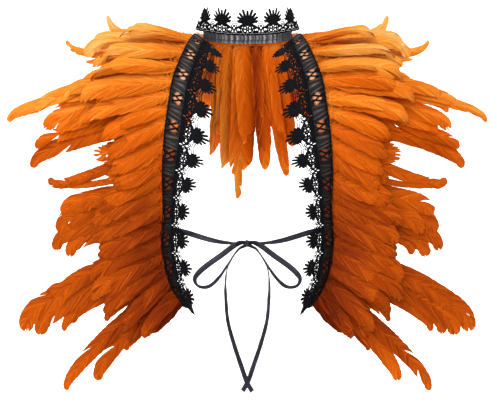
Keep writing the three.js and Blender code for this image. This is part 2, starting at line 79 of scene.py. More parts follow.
# The front trim lies between two rails, from the side of the neck down to the waist
TRIM_RAILS = (
    ((-75, 15, 8), (-33, -27, -22)),
    ((-82, -18, -8), (-35, -52, -40)),
    ((-90, -42, -30), (-38, -70, -62)),
    ((-100, -65, -62), (-42, -90, -92)),
    ((-105, -82, -98), (-47, -100, -126)),
    ((-110, -86, -140), (-52, -106, -163)),
    ((-113, -80, -190), (-64, -110, -199)),
    ((-113, -64, -238), (-76, -98, -242)),
    ((-116, -50, -285), (-77, -88, -289)),
    ((-111, -42, -323), (-73, -83, -325)),
    ((-101, -40, -350), (-71, -78, -356)),
    ((-88, -48, -368), (-71, -74, -380)),
)

# The front feathers lie on a drape over the shoulder: height, depth
DRAPE = (
    (60, 40), (0, -4), (-50, -40), (-100, -64), (-160, -72), (-240, -54), (-330, -34), (-500, -24),
)

# How golden the feathers are painted, by height, and how much more so at their outer ends
# Partly their dye and partly painted light: lighter high up, where light falls from above, darker low down
DYE_AND_SHADING = (
    (60, 0.76), (20, 0.75), (-10, 0.72), (-40, 0.70), (-107, 0.68), (-135, 0.62), (-150, 0.54), (-205, 0.50),
    (-254, 0.40), (-324, 0.40), (-408, 0.40), (-490, 0.52),
)
DYE_OUTER = (
    (0, 0.04), (-80, 0.1), (-115, 0.06), (-150, -0.04), (-200, 0.0), (-240, 0.08), (-300, 0.06),
    (-400, 0.06),
)

# Front feathers: root height, tip across, tip up, vane width, arch, bluntness, set back
FRONT_UNDER = (
    (-6, -206, -10, 34, 4, 0.7, 0),
    (-20, -206, -36, 36, 4, 0.6, 0),
    (-34, -218, -62, 36, 4, 0.5, 0),
    (-48, -282, -98, 34, 8, 0.4, 0),
    (-61, -319, -116, 26, 10, 0.3, 0),
    (-75, -266, -122, 34, 8, 0.8, 0),
    (-90, -250, -130, 30, 7, 0.5, -4),
    (-106, -281, -151, 22, 8, 0.7, 6),
    (-122, -288, -177, 24, 14, 0.5, 8),
    (-152, -266, -200, 15, -6, 0.8, 9),
    (-172, -184, -197, 28, 3, 0.7, 0),
    (-189, -246, -206, 8, -2, 0.0, 6),
    (-202, -184, -219, 24, 2, 0.8, 0),
    (-217, -246, -239, 28, 8, 0.8, 0),
    (-232, -250, -262, 34, 11, 0.9, 0),
    (-247, -260, -288, 24, 14, 0.7, 0),
    (-261, -242, -296, 26, 13, 0.7, 0),
    (-275, -200, -292, 20, 5, 0.4, 3),
    (-289, -272, -356, 24, 2, 0.8, 0),
    (-301, -304, -397, 32, 16, 0.8, 0),
    (-312, -284, -403, 28, 16, 0.8, 0),
    (-322, -252, -402, 22, 14, 0.3, 3),
    (-331, -194, -390, 18, 9, 0.3, 6),
    (-340, -250, -484, 22, 14, 0.4, 4),
    (-349, -207, -470, 22, 13, 0.7, 8),
    (-357, -168, -432, 18, 8, 0.3, 16),
    (-365, -132, -408, 14, 2, 0.3, 22),
)
FRONT_OVER = (
    (0, -172, 4, 32, 5, 0.7, 0),
    (-20, -196, -26, 36, 6, 0.6, 0),
    (-41, -206, -58, 38, 8, 0.6, 0),
    (-63, -220, -90, 38, 9, 0.5, 0),
    (-85, -210, -117, 34, 7, 0.5, 0),
    (-107, -190, -142, 32, 6, 0.5, 0),
    (-129, -182, -166, 30, 5, 0.5, 0),
    (-151, -178, -187, 30, 4, 0.5, 0),
    (-173, -177, -208, 30, 3, 0.5, 0),
    (-195, -190, -232, 32, 5, 0.6, 0),
    (-217, -202, -257, 32, 7, 0.6, 0),
    (-239, -200, -281, 30, 8, 0.5, 0),
    (-261, -196, -304, 30, 8, 0.6, 0),
    (-282, -206, -332, 32, 10, 0.6, 0),
    (-302, -206, -358, 32, 11, 0.5, 0),
    (-320, -190, -378, 28, 10, 0.5, 0),
    (-338, -168, -402, 24, 8, 0.5, 0),
    (-354, -142, -412, 20, 5, 0.4, 0),
)

# Feathers round the neck: degrees round from the right side, tip, vane width, arch, bluntness
SHOULDER = (
    (18, (-170, 12, -8), 28, 6, 0.7),
    (22.5, (-224, 18, -16), 32, 8, 0.6),
    (27, (-256, 26, -2), 20, -18, 0.0),
    (31.5, (-215, 40, 6), 36, 0, 0.9),
    (36, (-201, 56, 36), 28, -22, 0.1),
    (40.5, (-146, 62, 12), 24, -12, 0.8),
    (45, (-180, 84, -30), 32, 2, 0.6),
)
BACK_LONG = (
    (34, (-150, 96, -88), 36, 14, 0.6),
    (46, (-96, 100, -120), 36, 10, 0.5),
    (56, (-52, 103, -150), 38, 4, 0.5),
    (66, (-34, 106, -172), 34, 0, 0.5),
    (75, (-14, 118, -222), 16, 0, 0.3),
    (86, (-12, 108, -178), 40, 0, 0.9),
    (101, (27, 108, -177), 22, 0, 0.4),
    (112, (58, 109, -187), 18, 2, 0.4),
    (123, (66, 105, -140), 26, 4, 0.6),
    (134, (110, 102, -128), 36, 8, 0.5),
    (146, (160, 98, -90), 36, 14, 0.6),
)
BACK_SHORT = (
    (52, (-108, 124, -72), 36, 12, 0.7),
    (65, (-68, 128, -92), 36, 8, 0.7),
    (78, (-30, 130, -104), 36, 6, 0.6),
    (90, (2, 132, -98), 36, 6, 0.7),
    (102, (34, 132, -106), 36, 6, 0.6),
    (115, (70, 130, -92), 36, 8, 0.7),
    (128, (108, 128, -72), 36, 12, 0.7),
)

# The right ribbon's route, in three parts, with its turn about its own line in degrees
STRAND = (
    (-104.6, -61.3, -265.8, 0), (-94.2, -71.2, -267.2, 5), (-81.4, -83, -269.6, 10),
    (-73, -91, -271.8, 14), (-62, -96.8, -275, 20), (-48, -102, -278.8, 32), (-33, -106.5, -281.5, 50),
    (-17, -108.6, -282.8, 68), (-4.6, -108.8, -282.5, 76),
)
LOOP = (
    (-5.5, -114.3, -281.8, 50), (-12, -115, -283, 30), (-20, -115.4, -287.5, 12),
    (-33.5, -115.6, -297.8, 0), (-53.4, -116, -312, 0), (-64, -117, -321.5, 14),
    (-68.5, -119, -329, 48), (-65.5, -121, -336.5, 66), (-57.3, -122, -339.5, 60),
    (-47.5, -122, -336.9, 52), (-35.8, -121.5, -325.2, 60), (-25.4, -120.5, -309.5, 72),
    (-17, -119.4, -296.5, 76), (-10.8, -118.4, -289.2, 70), (-4.8, -117.6, -286.5, 60),
)
TAIL = (
    (-5.9, -111.6, -287.4, 60), (-12, -112.8, -291.5, 70), (-19.5, -114.5, -302, 78),
    (-26.4, -116, -317.3, 80), (-28.4, -117, -336, 70), (-28, -117, -353.8, 58),
    (-25.4, -116.5, -383.7, 54), (-17.6, -116.5, -413.7, 46), (-7.2, -117, -444.9, 40),
    (-0.7, -117, -463.2, 40), (6.4, -117, -475.9, 45),
)


# Sizes and colours that a user would change

def linear(hex_colour):
    """An sRGB hex colour as the linear colour that Blender's sockets hold."""
    shares = [int(hex_colour[i:i + 2], 16) / 255 for i in (1, 3, 5)]
    return tuple(s / 12.92 if s <= 0.04045 else ((s + 0.055) / 1.055) ** 2.4 for s in shares)


def colour_property(name, description, hex_colour):
    return bpy.props.FloatVectorProperty(
        name=name, description=description, subtype="COLOR", size=3, min=0, max=1, default=linear(hex_colour)
    )


class CapeFeatherSettings(bpy.types.PropertyGroup):
    lock_spacing: bpy.props.FloatProperty(
        name="Lock spacing", description="Distance between two locks of barbs along a shaft",
        default=2.0 * MM, min=1 * MM, max=8 * MM, unit="LENGTH",
    )
    companions: bpy.props.IntProperty(
        name="Companions", description="Looser feathers sewn on beside each listed one",
        default=2, min=0, max=4,
    )
    # Deep is painted shade for the folds of the lower clumps; pale is a painted highlight on the raised locks
    deep: colour_property("Deep", "Dyed feather in the folds of the lower clumps", "#5c1903")
    burnt: colour_property("Burnt", "Lower feathers near the band", "#983705")
    orange: colour_property("Orange", "Middle feathers", "#e0660c")
    golden: colour_property("Golden", "Top fan and the tips", "#f59c34")
    pale: colour_property("Pale", "Light on the raised locks", "#ffc474")


class CapeTrimSettings(bpy.types.PropertyGroup):
    ribbon_width: bpy.props.FloatProperty(
        name="Ribbon width", description="Width of the tie's satin ribbon", default=7.5 * MM, min=3 * MM,
        max=15 * MM, unit="LENGTH",
    )
    lace: colour_property("Lace", "Black embroidery thread", "#0a0c10")
    # Neck satin is the colour of the painted highlight on the black tape's ridges
    satin: colour_property("Neck satin", "Gathered neck tape", "#97989c")
    band: colour_property("Band satin", "Gathered black ribbon", "#0b090b")
    ribbon: colour_property("Ribbon", "Tie ribbon", "#1c1b26")


# Small helpers

def array(points):
    return np.array(points, float)


def unit(vectors):
    return vectors / np.maximum(np.linalg.norm(vectors, axis=-1, keepdims=True), 1e-9)


def smooth(low, high, value):
    share = np.clip((value - low) / (high - low), 0, 1)
    return share * share * (3 - 2 * share)


def deselect():
    bpy.ops.object.select_all(action="DESELECT")


def activate(piece):
    deselect()
    piece.select_set(True)
    bpy.context.view_layer.objects.active = piece


def apply_modifier(piece, kind, **settings):
    """Adds a modifier to a piece and applies it."""
    activate(piece)
    modifier = piece.modifiers.new(kind.title(), kind)
    for key, value in settings.items():
        setattr(modifier, key, value)
    bpy.ops.object.modifier_apply(modifier=modifier.name)


def finish_piece(piece, material, nodes=()):
    """Gives a piece its material and its place in the frame."""
    piece.data.materials.clear()
    piece.data.materials.append(material)
    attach(piece, "root")
    if nodes:
        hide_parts(*nodes)
    return piece


def read_points(mesh):
    flat = np.zeros(len(mesh.vertices) * 3, np.float32)
    mesh.vertices.foreach_get("co", flat)
    return flat.reshape(-1, 3).astype(float)


def write_points(mesh, points):
    """Places a mesh's points, given in millimetres."""
    mesh.vertices.foreach_set("co", (points * MM).astype(np.float32).ravel())


def write_values(mesh, key, column):
    """Stores one number for each point, for a material to read."""
    attribute = mesh.attributes.new(key, "FLOAT", "POINT")
    attribute.data.foreach_set("value", column.astype(np.float32))


def mesh_piece(name, points, faces, uv, values=None):
    """A piece from points in millimetres and lists of faces; uv and values have a row for each point."""
    mesh = bpy.data.meshes.new(name)
    corners = np.concatenate([face.reshape(-1) for face in faces]).astype(np.int32)
    sizes = np.concatenate([np.full(len(face), face.shape[1]) for face in faces]).astype(np.int32)
    mesh.vertices.add(len(points))
    write_points(mesh, points)
    mesh.loops.add(len(corners))
    mesh.loops.foreach_set("vertex_index", corners)
    mesh.polygons.add(len(sizes))
    mesh.polygons.foreach_set("loop_start", np.concatenate([[0], np.cumsum(sizes)[:-1]]).astype(np.int32))
    mesh.update(calc_edges=True)
    layer = mesh.uv_layers.new(name="UVMap")
    layer.data.foreach_set("uv", uv[corners].astype(np.float32).ravel())
    for key, column in (values or {}).items():
        write_values(mesh, key, column)
    mesh.validate()
    piece = bpy.data.objects.new(name, mesh)
    bpy.context.scene.collection.objects.link(piece)
    activate(piece)
    bpy.ops.object.shade_smooth()
    return piece


def laid_grid(name, columns, rows, place, values=None):
    """A grid primitive whose points are laid by place(column share, row share), in millimetres."""
    deselect()
    bpy.ops.mesh.primitive_grid_add(x_subdivisions=columns, y_subdivisions=rows, size=1, calc_uvs=True)
    piece = bpy.context.object
    piece.name = name
    piece.data.name = name
    u, v = (read_points(piece.data)[:, :2] + 0.5).T
    write_points(piece.data, place(u, v))
    for key, work in (values or {}).items():
        write_values(piece.data, key, work(u, v))
    piece.data.update()
    bpy.ops.object.shade_smooth()
    return piece


def sided(points, side):
    """Points of the wearer's right side, turned over for the left one."""
    return points * array((-side, 1, 1))


# Surfaces of the trim and the neck

def catmull(points, t):
    """A uniform Catmull-Rom curve through the points, at t from 0 to 1."""
    points = array(points)
    ends = [2 * points[0] - points[1], *points, 2 * points[-1] - points[-2]]
    full = array(ends)
    place = np.clip(t, 0, 1) * (len(points) - 1)
    first = np.minimum(place.astype(int), len(points) - 2)
    u = (place - first)[:, None]
    before, start, stop, after = (full[first + k] for k in range(4))
    leave = 0.5 * (stop - before)
    arrive = 0.5 * (after - start)
    return (
        (2 * u**3 - 3 * u**2 + 1) * start + (u**3 - 2 * u**2 + u) * leave
        + (3 * u**2 - 2 * u**3) * stop + (u**3 - u**2) * arrive
    )


def arc_lengths(points):
    steps = np.linalg.norm(np.diff(points, axis=0), axis=1)
    return np.concatenate([[0], np.cumsum(steps)])


RAIL_SAMPLES = np.linspace(0, 1, 1501)
OUTER_RAIL = catmull([row[0] for row in TRIM_RAILS], RAIL_SAMPLES)
INNER_RAIL = catmull([row[1] for row in TRIM_RAILS], RAIL_SAMPLES)
OUTER_TANGENT = unit(np.gradient(OUTER_RAIL, axis=0))
RAIL_ALONG = arc_lengths(OUTER_RAIL)
RAIL_LENGTH = RAIL_ALONG[-1]
TRIM_REPEAT = RAIL_LENGTH / TRIM_REPEATS


def sampled(table, share, shares):
    """The rows of a table at any shares, with a straight line between its samples."""
    return np.stack([np.interp(share, shares, table[:, k]) for k in range(table.shape[1])], axis=1)


def trim_surface(along, across, depth):
    """Points on the right front trim: length along it, width across it, depth off its middle."""
    along, across, depth = np.broadcast_arrays(along, across, depth)
    outer = sampled(OUTER_RAIL, along, RAIL_ALONG)
    step = sampled(INNER_RAIL, along, RAIL_ALONG) - outer
    normal = unit(np.cross(sampled(OUTER_TANGENT, along, RAIL_ALONG), step))
    return outer + step * (across / TRIM_WIDTH)[:, None] + normal * depth[:, None]


def neck_surface(turn, height, out):
    """Points round the neck: turn 0 is the right side, a quarter turn is the middle of the back."""
    return np.stack(
        [-np.cos(turn) * (NECK_HALF_WIDTH + out), np.sin(turn) * (NECK_HALF_DEPTH + out), height + 0 * turn],
        axis=1,
    )


def collar_surface(along, across, depth):
    """Points on the standing collar, whose two ends sink a little while their foot flares out."""
    radius = (NECK_HALF_WIDTH + NECK_HALF_DEPTH) / 2
    length = COLLAR_REPEATS * COLLAR_REPEAT
    turn = math.pi / 2 + (along - length / 2) / radius
    from_end = np.minimum(along, length - along) / COLLAR_REPEAT
    low = np.maximum(0, 1 - (across - BAND_WIDTH) / (TRIM_WIDTH - BAND_WIDTH))
    across = across - COLLAR_END_DROP * (1 - low) * smooth(1.1, 0.3, from_end)
    flare = COLLAR_FLARE * np.maximum(0, 1 - from_end / COLLAR_FLARE_SPAN) * low
    return neck_surface(turn, TAPE_HEIGHT - BAND_WIDTH + across, flare + depth)


def rail_drop(height):
    """How far down the outer rail a height is."""
    return float(np.interp(-height, -OUTER_RAIL[:, 2], RAIL_ALONG))


# Materials

def add_node(material, kind, links=None, stops=(), **settings):
    """Adds a node: links join its inputs to other nodes' outputs, stops are the places and colours of a
    ramp, and settings set its inputs or fields."""
    node = material.node_tree.nodes.new(kind)
    for key, value in settings.items():
        if hasattr(node, key):
            setattr(node, key, value)
        else:
            node.inputs[key.replace("_", " ")].default_value = value
    for key, (source, output) in (links or {}).items():
        socket = node.inputs[int(key) if key.isdigit() else key]
        material.node_tree.links.new(source.outputs[output], socket)
    if stops:
        elements = node.color_ramp.elements
        while len(elements) < len(stops):
            elements.new(0.5)
        for element, (place, colour) in zip(elements, stops):
            element.position = place
            element.color = (*colour, 1)
    return node


def new_material(name):
    material = bpy.data.materials.new(name)
    material.use_nodes = True
    material.node_tree.nodes.clear()
    return material


def close_material(material, colour, roughness, specular, relief=None):
    """Adds the shader and the output; relief is a bump's texture, strength and depth in millimetres."""
    links = {"Base Color": (colour, "Color")}
    if relief:
        texture, strength, depth = relief
        bump = add_node(
            material, "ShaderNodeBump", {"Height": (texture, "Fac")}, Strength=strength, Distance=depth * MM
        )
        links["Normal"] = (bump, "Normal")
    shader = add_node(
        material, "ShaderNodeBsdfPrincipled", links, Roughness=roughness, Specular_IOR_Level=specular
    )
    add_node(material, "ShaderNodeOutputMaterial", {"Surface": (shader, "BSDF")})
    return material


def scaled(colour, share):
    return tuple(channel * share for channel in colour)


def feather_material(name, settings):
    """Dyed rooster feather: soft barbs with a silky sheen, so the colour runs in streaks along the locks."""
    material = new_material(name)
    tone = add_node(material, "ShaderNodeAttribute", attribute_name="tone")
    place = add_node(material, "ShaderNodeUVMap", uv_map="UVMap")
    # A barb is 0.3 mm wide; the streaks are drawn at about 0.8 mm so that they show
    stretched = add_node(material, "ShaderNodeMapping", {"Vector": (place, "UV")}, Scale=(12, 0.5, 1))
    streaks = add_node(
        material, "ShaderNodeTexNoise", {"Vector": (stretched, "Vector")},
        Scale=1.0, Detail=3.0, Roughness=0.6,
    )
    # The streaks shift the tone by up to an eighth either way
    shift = add_node(
        material, "ShaderNodeMath", {"0": (streaks, "Fac"), "2": (tone, "Fac")}, operation="MULTIPLY_ADD"
    )
    shift.inputs[1].default_value = 0.24
    settled = add_node(material, "ShaderNodeMath", {"0": (shift, "Value")}, operation="SUBTRACT")
    settled.inputs[1].default_value = 0.12
    # The ramp runs from painted shade darker than deep, through the dyes, to the pale painted highlight
    dyes = (settings.deep, settings.burnt, settings.orange, settings.golden, settings.pale)
    stops = [(0.0, scaled(settings.deep, 0.4)), *zip((0.15, 0.35, 0.66, 0.86, 1.0), dyes)]
    colour = add_node(material, "ShaderNodeValToRGB", {"Fac": (settled, "Value")}, stops)
    return close_material(material, colour, 0.5, 0.03, (streaks, 0.35, 0.4))


def ribbon_material(name, settings):
    """Polyester satin: close floats of yarn, so a soft broad shine that follows each fold."""
    material = new_material(name)
    place = add_node(material, "ShaderNodeTexCoord")
    # Satin yarn lies at 0.1 mm; it is drawn at 0.5 mm so that it shows
    yarn = add_node(
        material, "ShaderNodeTexNoise", {"Vector": (place, "Object")},
        Scale=1 / (0.5 * MM), Detail=2.0, Roughness=0.5,
    )
    # Lighter patches of painted sheen on the dark ribbon
    sheen_patches = add_node(
        material, "ShaderNodeTexNoise", {"Vector": (place, "Object")}, Scale=120.0, Detail=2.0, Roughness=0.5
    )
    stops = ((0.3, settings.ribbon), (0.75, linear("#34323f")))
    colour = add_node(material, "ShaderNodeValToRGB", {"Fac": (sheen_patches, "Fac")}, stops)
    return close_material(material, colour, 0.34, 0.2, (yarn, 0.25, 0.3))


def lace_material(name, settings):
    """Guipure lace: cords of rayon embroidery thread, whose stitches lie across each cord and catch light."""
    material = new_material(name)
    place = add_node(material, "ShaderNodeUVMap", uv_map="UVMap")
    # The thread is 0.25 mm thick; the stitches are drawn at 0.7 mm so that they show
    stitches = add_node(
        material, "ShaderNodeTexWave", {"Vector": (place, "UV")}, Scale=4.5, Distortion=1.5, Detail=1.0
    )
    # Painted shade between the stitches and a painted highlight on their tops
    stops = ((0.0, scaled(settings.lace, 0.5)), (0.8, settings.lace), (1.0, linear("#1b2029")))
    colour = add_node(material, "ShaderNodeValToRGB", {"Fac": (stitches, "Fac")}, stops)
    return close_material(material, colour, 0.55, 0.08, (stitches, 0.6, 0.3))


# Silk gauze the colour of the feathers, painted from its shaded places to its lit ones
GAUZE_PAINTED_LIGHT = ((0.0, "#200a05"), (0.45, "#8a3a14"), (0.75, "#f08a4c"), (1.0, "#ffc39a"))


def gathered_material(name, valley, painted_fold_light, shine, gauze=()):
    """Gathered polyester satin with painted shading: dark in the folds, a painted highlight where a fold's
    ridge turns to the light; gauze gives the painted light and shade of what shows in its windows."""
    material = new_material(name)
    place = add_node(material, "ShaderNodeTexCoord")
    fold = add_node(material, "ShaderNodeAttribute", attribute_name="painted_fold_light")
    # Satin yarn lies at 0.1 mm; its grain is drawn at about 1.4 mm so that it shows
    grain = add_node(
        material, "ShaderNodeTexNoise", {"Vector": (place, "Object")}, Scale=700.0, Detail=3.0, Roughness=0.6
    )
    uneven = add_node(
        material, "ShaderNodeMath", {"0": (grain, "Fac"), "2": (fold, "Fac")}, operation="MULTIPLY_ADD"
    )
    uneven.inputs[1].default_value = 0.3
    # The ramp paints shade in the folds and a highlight on the ridges
    middle = tuple(0.62 * low + 0.38 * high for low, high in zip(valley, painted_fold_light))
    stops = ((0.2, valley), (0.7, middle), (1.1, painted_fold_light))
    colour = add_node(material, "ShaderNodeValToRGB", {"Fac": (uneven, "Value")}, stops)
    if gauze:
        window = add_node(material, "ShaderNodeAttribute", attribute_name="window")
        glow = add_node(material, "ShaderNodeAttribute", attribute_name="glow")
        stops = [(level, linear(shade)) for level, shade in gauze]
        lit = add_node(material, "ShaderNodeValToRGB", {"Fac": (glow, "Fac")}, stops)
        colour = add_node(
            material, "ShaderNodeMixRGB",
            {"Fac": (window, "Fac"), "Color1": (colour, "Color"), "Color2": (lit, "Color")},
        )
    return close_material(material, colour, 0.42, shine, (grain, 0.3, 0.4))


def paint_material(name, paint):
    """Matt white paint on board: pale, with a faint roller grain."""
    material = new_material(name)
    place = add_node(material, "ShaderNodeTexCoord")
    grain = add_node(
        material, "ShaderNodeTexNoise", {"Vector": (place, "Object")}, Scale=300.0, Detail=2.0, Roughness=0.5
    )
    stops = ((0.0, scaled(paint, 0.99)), (1.0, paint))
    colour = add_node(material, "ShaderNodeValToRGB", {"Fac": (grain, "Fac")}, stops)
    return close_material(material, colour, 0.9, 0.5)


# Ribbon tie

RIBBON_STEP = 1.6


def ribbon_route(side, part):
    """The route's points and turns in millimetres, mirrored and set back for the left ribbon."""
    rows = array(part)
    if side > 0:
        rows[:, 0] *= -1
        if part is TAIL:
            rows[:, 1] += LEFT_TAIL_SETBACK * np.minimum(1, np.arange(len(rows)) / SETBACK_POINTS)
        rows[:, 3] *= -1
    return rows


def ribbon_line(side):
    """The whole ribbon from the band through the knot, round its loop and down its tail."""
    knot = array([[*KNOT_CENTRE, -50 * side]])
    strand, loop, tail = (ribbon_route(side, part) for part in (STRAND, LOOP, TAIL))
    rows = np.concatenate([strand, knot + (0, 2, 0, 0), loop, knot + (0, -2, -1, 0), tail])
    shares = np.linspace(0, 1, len(rows))
    fine = np.linspace(0, 1, 12 * len(rows))
    points = catmull(rows[:, :3], fine)
    turns = np.radians(np.interp(fine, shares, rows[:, 3]))
    return points, turns


def ribbon_piece(name, side, width):
    """A ribbon laid on its line: slightly crowned, with a shallow ruffle at both edges."""
    points, turns = ribbon_line(side)
    along = arc_lengths(points)
    length = along[-1]
    steps = int(length / RIBBON_STEP)
    tangents = unit(np.gradient(points, along, axis=0))
    plain = unit(np.cross(tangents, array((0, -1, 0))))
    normals = unit(np.cross(plain, tangents))
    turned = plain * np.cos(turns)[:, None] + normals * np.sin(turns)[:, None]
    faced = unit(np.cross(turned, tangents))

    def place(u, v):
        where = u * length
        centre = sampled(points, where, along)
        across = unit(sampled(turned, where, along))
        facing = unit(sampled(faced, where, along))
        crown = 0.35 * (1 - (2 * v - 1) ** 2)
        ruffle = 0.12 * np.sin(where / 3.1) * (2 * v - 1)
        return centre + across * ((v - 0.5) * width)[:, None] + facing * (crown + ruffle - 0.2)[:, None]

    piece = laid_grid(name, steps, 5, place)
    apply_modifier(piece, "SOLIDIFY", thickness=0.5 * MM, offset=0)
    return piece, points, length


class CAPE_OT_ribbons(bpy.types.Operator):
    """Lays the two satin ribbons of the tie: strand, loop and tail in one length each"""

    bl_idname = "cape.ribbons"
    bl_label = "Ribbon tie"

    def execute(self, context):
        settings = context.scene.cape_trim
        material = ribbon_material("satin_ribbon_polyester", settings)
        knot = tie_knot(material)
        for side, word in SIDES:
            piece, points, length = ribbon_piece("tie_ribbon_" + word, side, settings.ribbon_width / MM)
            parts = ["ribbon_" + part + "_" + word for part in ("strand", "loop", "tail")]
            finish_piece(piece, material, parts)
        return {"FINISHED"}


def tie_knot(material):
    """A small flat-sided knot with the folds of the two ribbons wrapped round it."""
    deselect()
    bpy.ops.mesh.primitive_uv_sphere_add(segments=36, ring_count=24, radius=1)
    piece = bpy.context.object
    piece.name = "tie_knot"
    ball = read_points(piece.data)
    slant = ball[:, 2] * 2.1 + ball[:, 0] * 0.9
    folds = 1 + 0.07 * np.cos(slant * 4.2) - 0.1 * np.exp(-((slant - 0.5) * 6) ** 2)
    pinch = 1 - 0.22 * np.exp(-(ball[:, 2] * 1.5) ** 2)
    shaped = np.sign(ball) * np.abs(ball) ** 0.82 * folds[:, None]
    shaped[:, 0] *= pinch
    write_points(piece.data, shaped * KNOT_HALF_SIZE + array(KNOT_CENTRE))
    piece.data.update()
    bpy.ops.object.shade_smooth()
    return finish_piece(piece, material, ["ribbon_knot"])


# Neck tape and front bands

TAPE_PLEATS = 34
TAPE_END = 0.06
TAPE_BROAD_FOLDS = 17
CRIMPS_PER_REPEAT = 6
WINDOW_MIDDLE = 0.54
WINDOW_HALF_LENGTH = 0.21
WINDOW_HALF_WIDTH = 0.29

# Seeds of the uneven gathers
TAPE_SEED = 5
BROAD_FOLD_SEED = 8
BAND_SEED = 11


def pleat_wave(share, count, seed):
    """A gathered edge's wave: pleats of uneven width and height, the same each run."""
    draw = np.random.default_rng(seed)
    marks = np.cumsum(draw.uniform(0.5, 1.6, count + 1))
    marks = (marks - marks[0]) / (marks[-1] - marks[0])
    phase = np.interp(share, marks, np.arange(count + 1))
    height = np.interp(share, marks, draw.uniform(0.55, 1.0, count + 1))
    return np.sin(2 * math.pi * phase) * height


class CAPE_OT_neck_tape(bpy.types.Operator):
    """Gathers the satin tape round the back of the neck"""

    bl_idname = "cape.neck_tape"
    bl_label = "Neck tape"

    def execute(self, context):
        settings = context.scene.cape_trim

        def place(u, v):
            turn = -TAPE_END + u * (math.pi + 2 * TAPE_END)
            stitched = np.exp(-(((v - 0.68) / 0.07) ** 2))
            gathered = np.clip(1.15 - 0.75 * v, 0.3, 1) * (1 - 0.7 * stitched)
            wave = pleat_wave(u, TAPE_PLEATS, TAPE_SEED) * 1.5 * gathered
            edge = 0.25 * np.sin(u * 190) * (v < 0.05)
            height = v * TAPE_HEIGHT + edge
            return neck_surface(turn, height, wave + 0.5 * stitched)

        # Painted highlight on the pleats, painted shade in their folds and at both ends where the tape turns
        # away
        def painted_fold_light(u, v):
            ends = smooth(0.2, 0.34, u) * smooth(0.8, 0.66, u)
            stitched = np.exp(-(((v - 0.36) / 0.05) ** 2))
            pleats = 0.48 + 0.4 * pleat_wave(u + 0.004 * np.sin(v * 7), TAPE_PLEATS, TAPE_SEED)
            pleats = pleats + 0.22 * pleat_wave(u, TAPE_BROAD_FOLDS, BROAD_FOLD_SEED)
            return (pleats - 0.5 * stitched + 0.3 * (v < 0.12)) * (0.25 + 0.75 * ends)

        piece = laid_grid("neck_tape_satin", TAPE_PLEATS * 10, 22, place, {"painted_fold_light": painted_fold_light})
        apply_modifier(piece, "SOLIDIFY", thickness=0.7 * MM, offset=0)
        # The black tape is painted grey: dark grey as painted shade in its folds, pale grey as painted
        # highlight
        material = gathered_material("gathered_satin_polyester", linear("#2a2b30"), settings.satin, 0.3)
        finish_piece(piece, material, ["neck_tape"])
        return {"FINISHED"}


def window_share(u, v):
    """1 in the middle of a band's laced window, 0 on its gathered satin."""
    phase = (u * TRIM_REPEATS) % 1 - 0.5
    ragged = 0.09 * np.sin(u * 611 + v * 9) + 0.07 * np.sin(u * 1403 - v * 17)
    reach = np.hypot(phase / WINDOW_HALF_LENGTH, (v - WINDOW_MIDDLE) / WINDOW_HALF_WIDTH) + ragged
    return 1 - smooth(0.85, 1.05, reach)


def window_glow(u, v):
    """How much painted light a window's gauze gets, as if light behind shows through: bright at the shoulder,
    dark lower down.
    """
    streak = 0.14 * np.sin(u * 900 + v * 11) * np.sin(v * 30)
    fall = np.interp(u, (0, 0.08, 0.3, 0.42, 0.55, 1), (0.85, 0.98, 0.92, 0.6, 0.32, 0.18))
    return np.clip(fall + streak, 0.05, 1)


def band_crimps(u, v):
    """The small gathers of the puffs, fanned out from each window."""
    phase = (u * TRIM_REPEATS) % 1
    fanned = u + 0.008 * (v - 0.5) * np.sign(phase - 0.5)
    return pleat_wave(fanned, TRIM_REPEATS * CRIMPS_PER_REPEAT, BAND_SEED)


def band_puff(u):
    """1 between two windows, where the satin puffs out most, and 0 beside a window."""
    phase = (u * TRIM_REPEATS) % 1
    return smooth(0.36, 0.0, np.abs(((phase + 0.5) % 1) - 0.5))


def band_depth(u, v):
    """How far the band stands off its own middle: arched, puffed and crimped, and sunk in its windows."""
    near = 1 - window_share(u, v)
    puff = band_puff(u)
    arch = np.sqrt(np.clip(1 - (2 * v - 1) ** 2, 0, 1))
    crimps = band_crimps(u, v) * (0.5 + 0.6 * puff)
    return 1.0 + near * arch * (0.9 + 1.6 * puff + 1.1 * crimps) - 0.5 * (1 - near)


def band_painted_fold_light(u, v):
    """How much painted highlight a place on the band gets: the ridges of its crimps, and little of it low
    down.
    """
    arch = np.clip(1 - (2 * v - 1) ** 2, 0, 1)
    high = np.interp(u, (0, 0.35, 0.6, 1), (1.0, 0.85, 0.3, 0.12))
    crimps = np.maximum(0, band_crimps(u, v)) ** 1.6
    return (0.05 + 0.2 * band_puff(u) + 1.3 * crimps) * arch * high


class CAPE_OT_front_bands(bpy.types.Operator):
    """Gathers the two front bands, with their laced windows and edge cords"""

    bl_idname = "cape.front_bands"
    bl_label = "Front bands"

    def execute(self, context):
        settings = context.scene.cape_trim
        # The black band gets a grey painted highlight on its puffs and painted light in its windows
        satin = gathered_material(
            "gathered_band_satin", settings.band, linear("#6c625c"), 0.15, GAUZE_PAINTED_LIGHT
        )
        cord = lace_material("band_cord_rayon", settings)
        for side, word in SIDES:

            def place(u, v):
                edge = 0.35 * np.sin(u * RAIL_LENGTH / 1.3) * (np.abs(v - 0.5) > 0.47)
                points = trim_surface(u * RAIL_LENGTH, v * BAND_WIDTH + edge, band_depth(u, v) - 0.6)
                return sided(points, side)

            piece = laid_grid(
                "front_band_satin_" + word, TRIM_REPEATS * 34, 18, place,
                {"window": window_share, "glow": window_glow, "painted_fold_light": band_painted_fold_light},
            )
            apply_modifier(piece, "SOLIDIFY", thickness=0.8 * MM, offset=side)
            finish_piece(piece, satin, ["front_band_" + word])
            threads = repeated(band_threads(), trim_surface, TRIM_REPEATS, TRIM_REPEAT, side)
            finish_piece(mesh_piece("front_band_cords_" + word, *threads), cord)
        return {"FINISHED"}


# Lace. Each thread lies flat on the trim's surface, along it and across it, at a level off its middle

